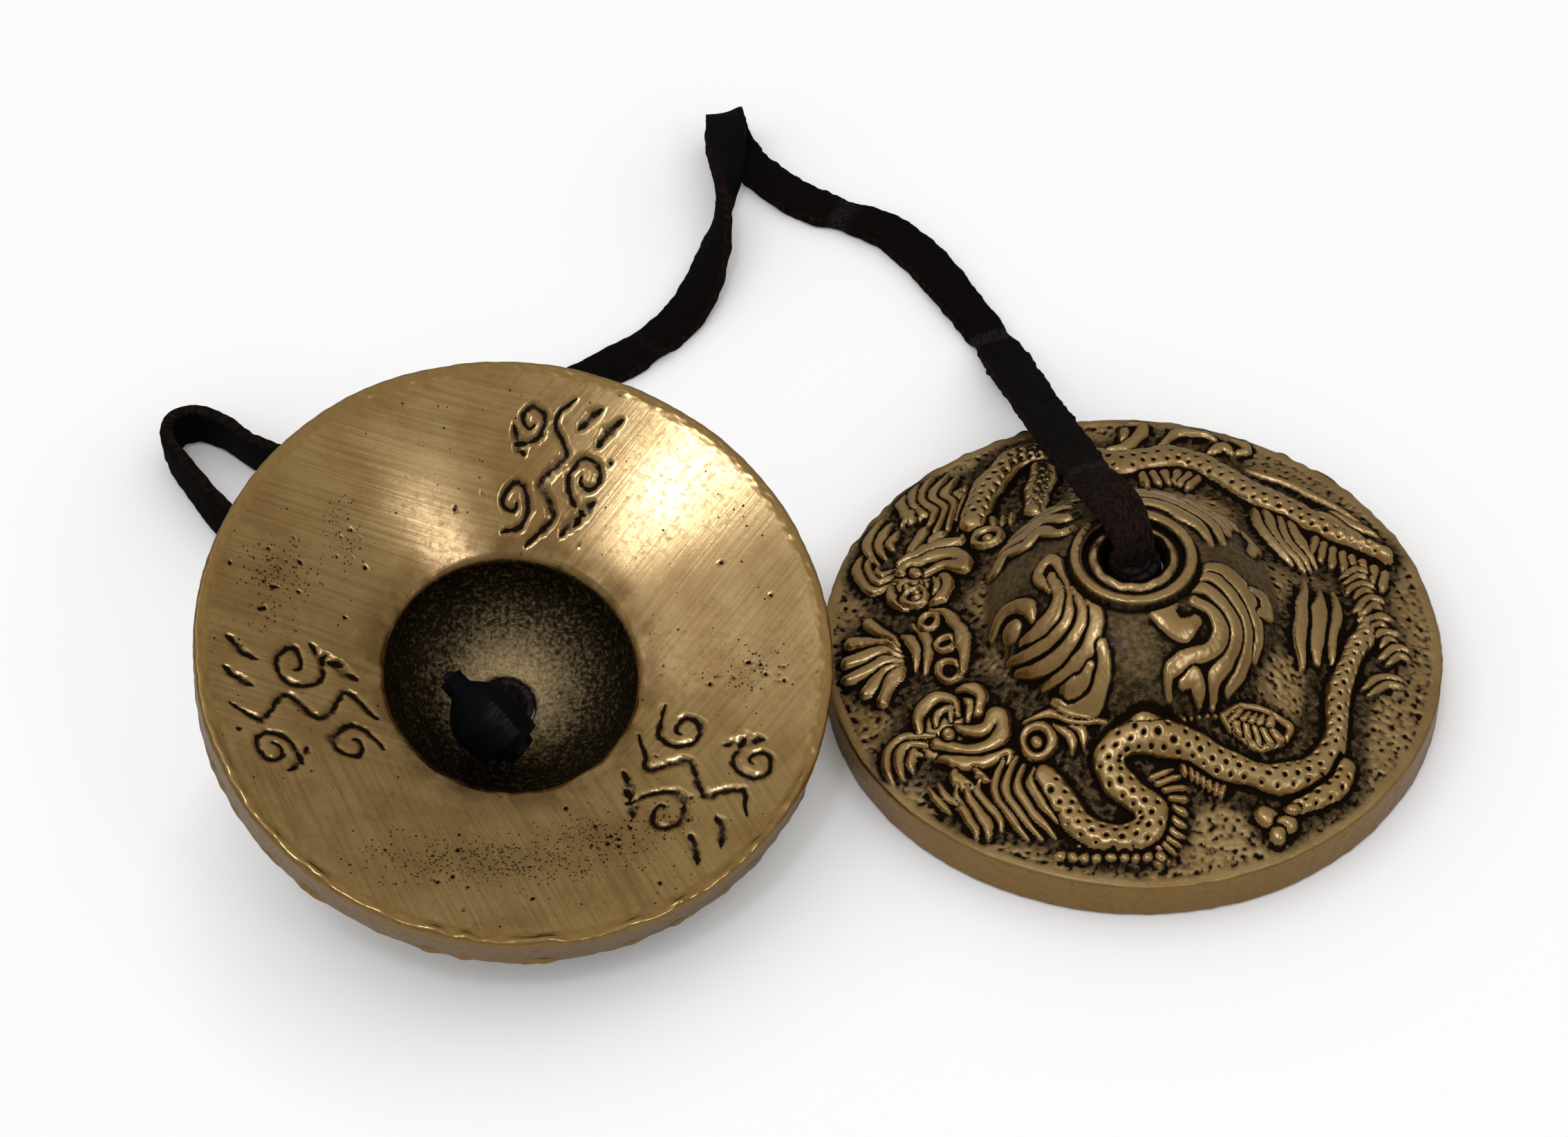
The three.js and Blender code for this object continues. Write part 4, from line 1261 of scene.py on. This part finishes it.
def leather_finish():
    """Dark cut leather: smooth and bluish on the grain side, rough and brown on the flesh side and edges."""
    finish = Finish("leather")
    along_it, across_it, grain = finish.attributes("along", "across", "grain")
    wear_and_sheen, riser_brown_sheen = finish.attributes("wear_and_sheen", "riser_brown_sheen")
    place = finish.node("ShaderNodeCombineXYZ", {"X": along_it, "Y": across_it, "Z": grain}).outputs["Vector"]
    drawn_out = finish.node("ShaderNodeMapping", {"Vector": place, "Scale": (1.2, 3.2, 1.0)}).outputs[0]
    fibres = finish.noise(drawn_out, 1.3, 6, 0.75)
    pores = finish.noise(place, 5.0, 4, 0.6)
    patches = finish.noise(place, 0.35, 3)
    on_grain = finish.ramp(grain, 0.2, 0.8)
    on_edge = (1.0 - (on_grain + finish.ramp(grain, -0.2, -0.8))).clamped()
    dusty = finish.ramp(fibres, 0.55, 0.8) * finish.ramp(patches, 0.45, 0.7, 0.1, 0.8)
    # Scuffs, and painted highlight and sheen, where the leather is creased or rubbed
    scuff_and_sheen = finish.ramp(wear_and_sheen, 0.3, 0.95) * finish.ramp(fibres, 0.4, 0.6)
    colour = finish.colour(on_grain, FLESH_BROWN, GRAIN_BLACK)
    colour = finish.colour(on_edge * finish.ramp(fibres, 0.4, 0.65), colour, EDGE_BROWN)
    # Painted sheen: a lighter brown on the length that rises out of the right knot
    colour = finish.colour(riser_brown_sheen * finish.ramp(fibres, 0.38, 0.62), colour, RISER_SHEEN_BROWN)
    colour = finish.colour(dusty * 0.5, colour, DUST_BROWN)
    colour = finish.colour(scuff_and_sheen * 0.6, colour, SCUFF_AND_SHEEN_GREY)
    normal = finish.bump(fibres, 0.22, 0.7)
    normal = finish.bump(pores, 0.08, 0.5, normal)
    return finish.done(
        base_color=colour,
        roughness=(1.0 - on_grain) * 0.22 + 0.62,
        normal=normal,
        specular_ior_level=0.09,
    )


# ---------------------------------------------------------------- the studio

# Softboxes: place in metres, size and power
LIGHTS = {
    "key": ((-0.20, -0.39, 1.06), 0.16, 1.35),
    "fill": ((0.60, -0.60, 0.70), 0.24, 0.7),
    "top": ((-0.62, 0.06, 1.0), 0.6, 0.45),
}
FLOOR_REACH = 3.0
FLOOR_GREY = (0.72, 0.69, 0.62)
FLOOR_GLOW = 0.63
ROOM_LOW = 0.2
ROOM_HIGH = 0.42
WARM_WHITE = (1.0, 0.98, 0.95)
COOL_WHITE = (0.9, 1.0, 1.4)


def floor():
    """A plain pale floor. The camera sees it glow, except close under the object, where the glow fades to a
    painted shadow.
    """
    mesh = bpy.data.meshes.new("floor")
    corners = [(FLOOR_REACH * x, FLOOR_REACH * y, 0) for x, y in ((-1, -1), (1, -1), (1, 1), (-1, 1))]
    mesh.from_pydata(corners, [], [(0, 1, 2, 3)])
    pale = Finish("pale_floor")
    seen = pale.channel("Is Camera Ray", "ShaderNodeLightPath")
    # Painted shadow: the glow fades where the object hems the floor in
    clear_of_painted_shadow = pale.channel("AO", "ShaderNodeAmbientOcclusion", {"Distance": 0.02}, samples=8)
    mesh.materials.append(pale.done(
        base_color=(*FLOOR_GREY, 1),
        roughness=0.9,
        emission_color=(1, 1, 1, 1),
        emission_strength=seen * FLOOR_GLOW * clear_of_painted_shadow,
    ))
    placed("floor", mesh)


def room():
    """A dim room that is lighter overhead."""
    world = bpy.data.worlds.new("studio")
    bpy.context.scene.world = world
    world.use_nodes = True
    nodes, links = world.node_tree.nodes, world.node_tree.links
    direction = nodes.new("ShaderNodeTexCoord")
    height = nodes.new("ShaderNodeSeparateXYZ")
    strength = nodes.new("ShaderNodeMapRange")
    strength.inputs["To Min"].default_value = ROOM_LOW
    strength.inputs["To Max"].default_value = ROOM_HIGH
    background = nodes["Background"]
    background.inputs["Color"].default_value = (*WARM_WHITE, 1)
    links.new(direction.outputs["Generated"], height.inputs["Vector"])
    links.new(height.outputs["Z"], strength.inputs["Value"])
    links.new(strength.outputs["Result"], background.inputs["Strength"])


def softbox(name, place, size, power):
    """A square soft light that faces the object."""
    lamp = bpy.data.lights.new(name, "AREA")
    lamp.size = size
    lamp.energy = power
    lamp.color = COOL_WHITE
    holder = placed(name, lamp)
    holder.location = place
    holder.rotation_mode = "QUATERNION"
    holder.rotation_quaternion = Vector(place).to_track_quat("Z", "Y")


def camera():
    """The view of the photo."""
    lens = bpy.data.cameras.new("camera")
    lens.lens = CAMERA_LENS
    lens.clip_start, lens.clip_end = 0.01, 20
    back = Vector((0, -math.cos(CAMERA_PITCH), math.sin(CAMERA_PITCH)))
    right = Vector((1, 0, 0))
    up = back.cross(right)
    c, s = math.cos(CAMERA_ROLL), math.sin(CAMERA_ROLL)
    place = (RIGHT_CENTRE + CAMERA_TARGET + back * CAMERA_DISTANCE) * MM
    turned = Matrix((c * right + s * up, c * up - s * right, back)).transposed().to_4x4()
    holder = placed("camera", lens)
    holder.matrix_world = Matrix.Translation(place) @ turned
    bpy.context.scene.camera = holder


# ---------------------------------------------------------------- assembly

def attach(piece, body, material):
    """Gives a rigid piece its material, and has it ride on the CAD body that it stands for."""
    piece.data.materials.append(material)
    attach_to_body(piece, body)
    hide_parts(body)


def main():
    """Makes the castings, the knots, the strap and the studio."""
    brass = brass_finish()
    leather = leather_finish()
    outside = outside_relief()
    inside = face_engraving()
    for side, place in PLACES.items():
        casting = cymbal(f"{side}_cymbal_casting", outside, inside)
        casting.data.transform(Matrix.Translation(place.translation * MM) @ place.to_3x3().to_4x4())
        attach(casting, f"{side}_cymbal", brass)
        for label, shape in (("cone", CONE), ("throat", THROAT)):
            roll = rolled(f"{side}_knot_{label}", place, shape)
            attach(roll, f"{side}_knot", leather)
    build_strap(leather)
    floor()
    room()
    for name, (place, size, power) in LIGHTS.items():
        softbox(name, place, size, power)
    camera()
    bpy.context.scene.view_settings.view_transform = "Standard"


main()
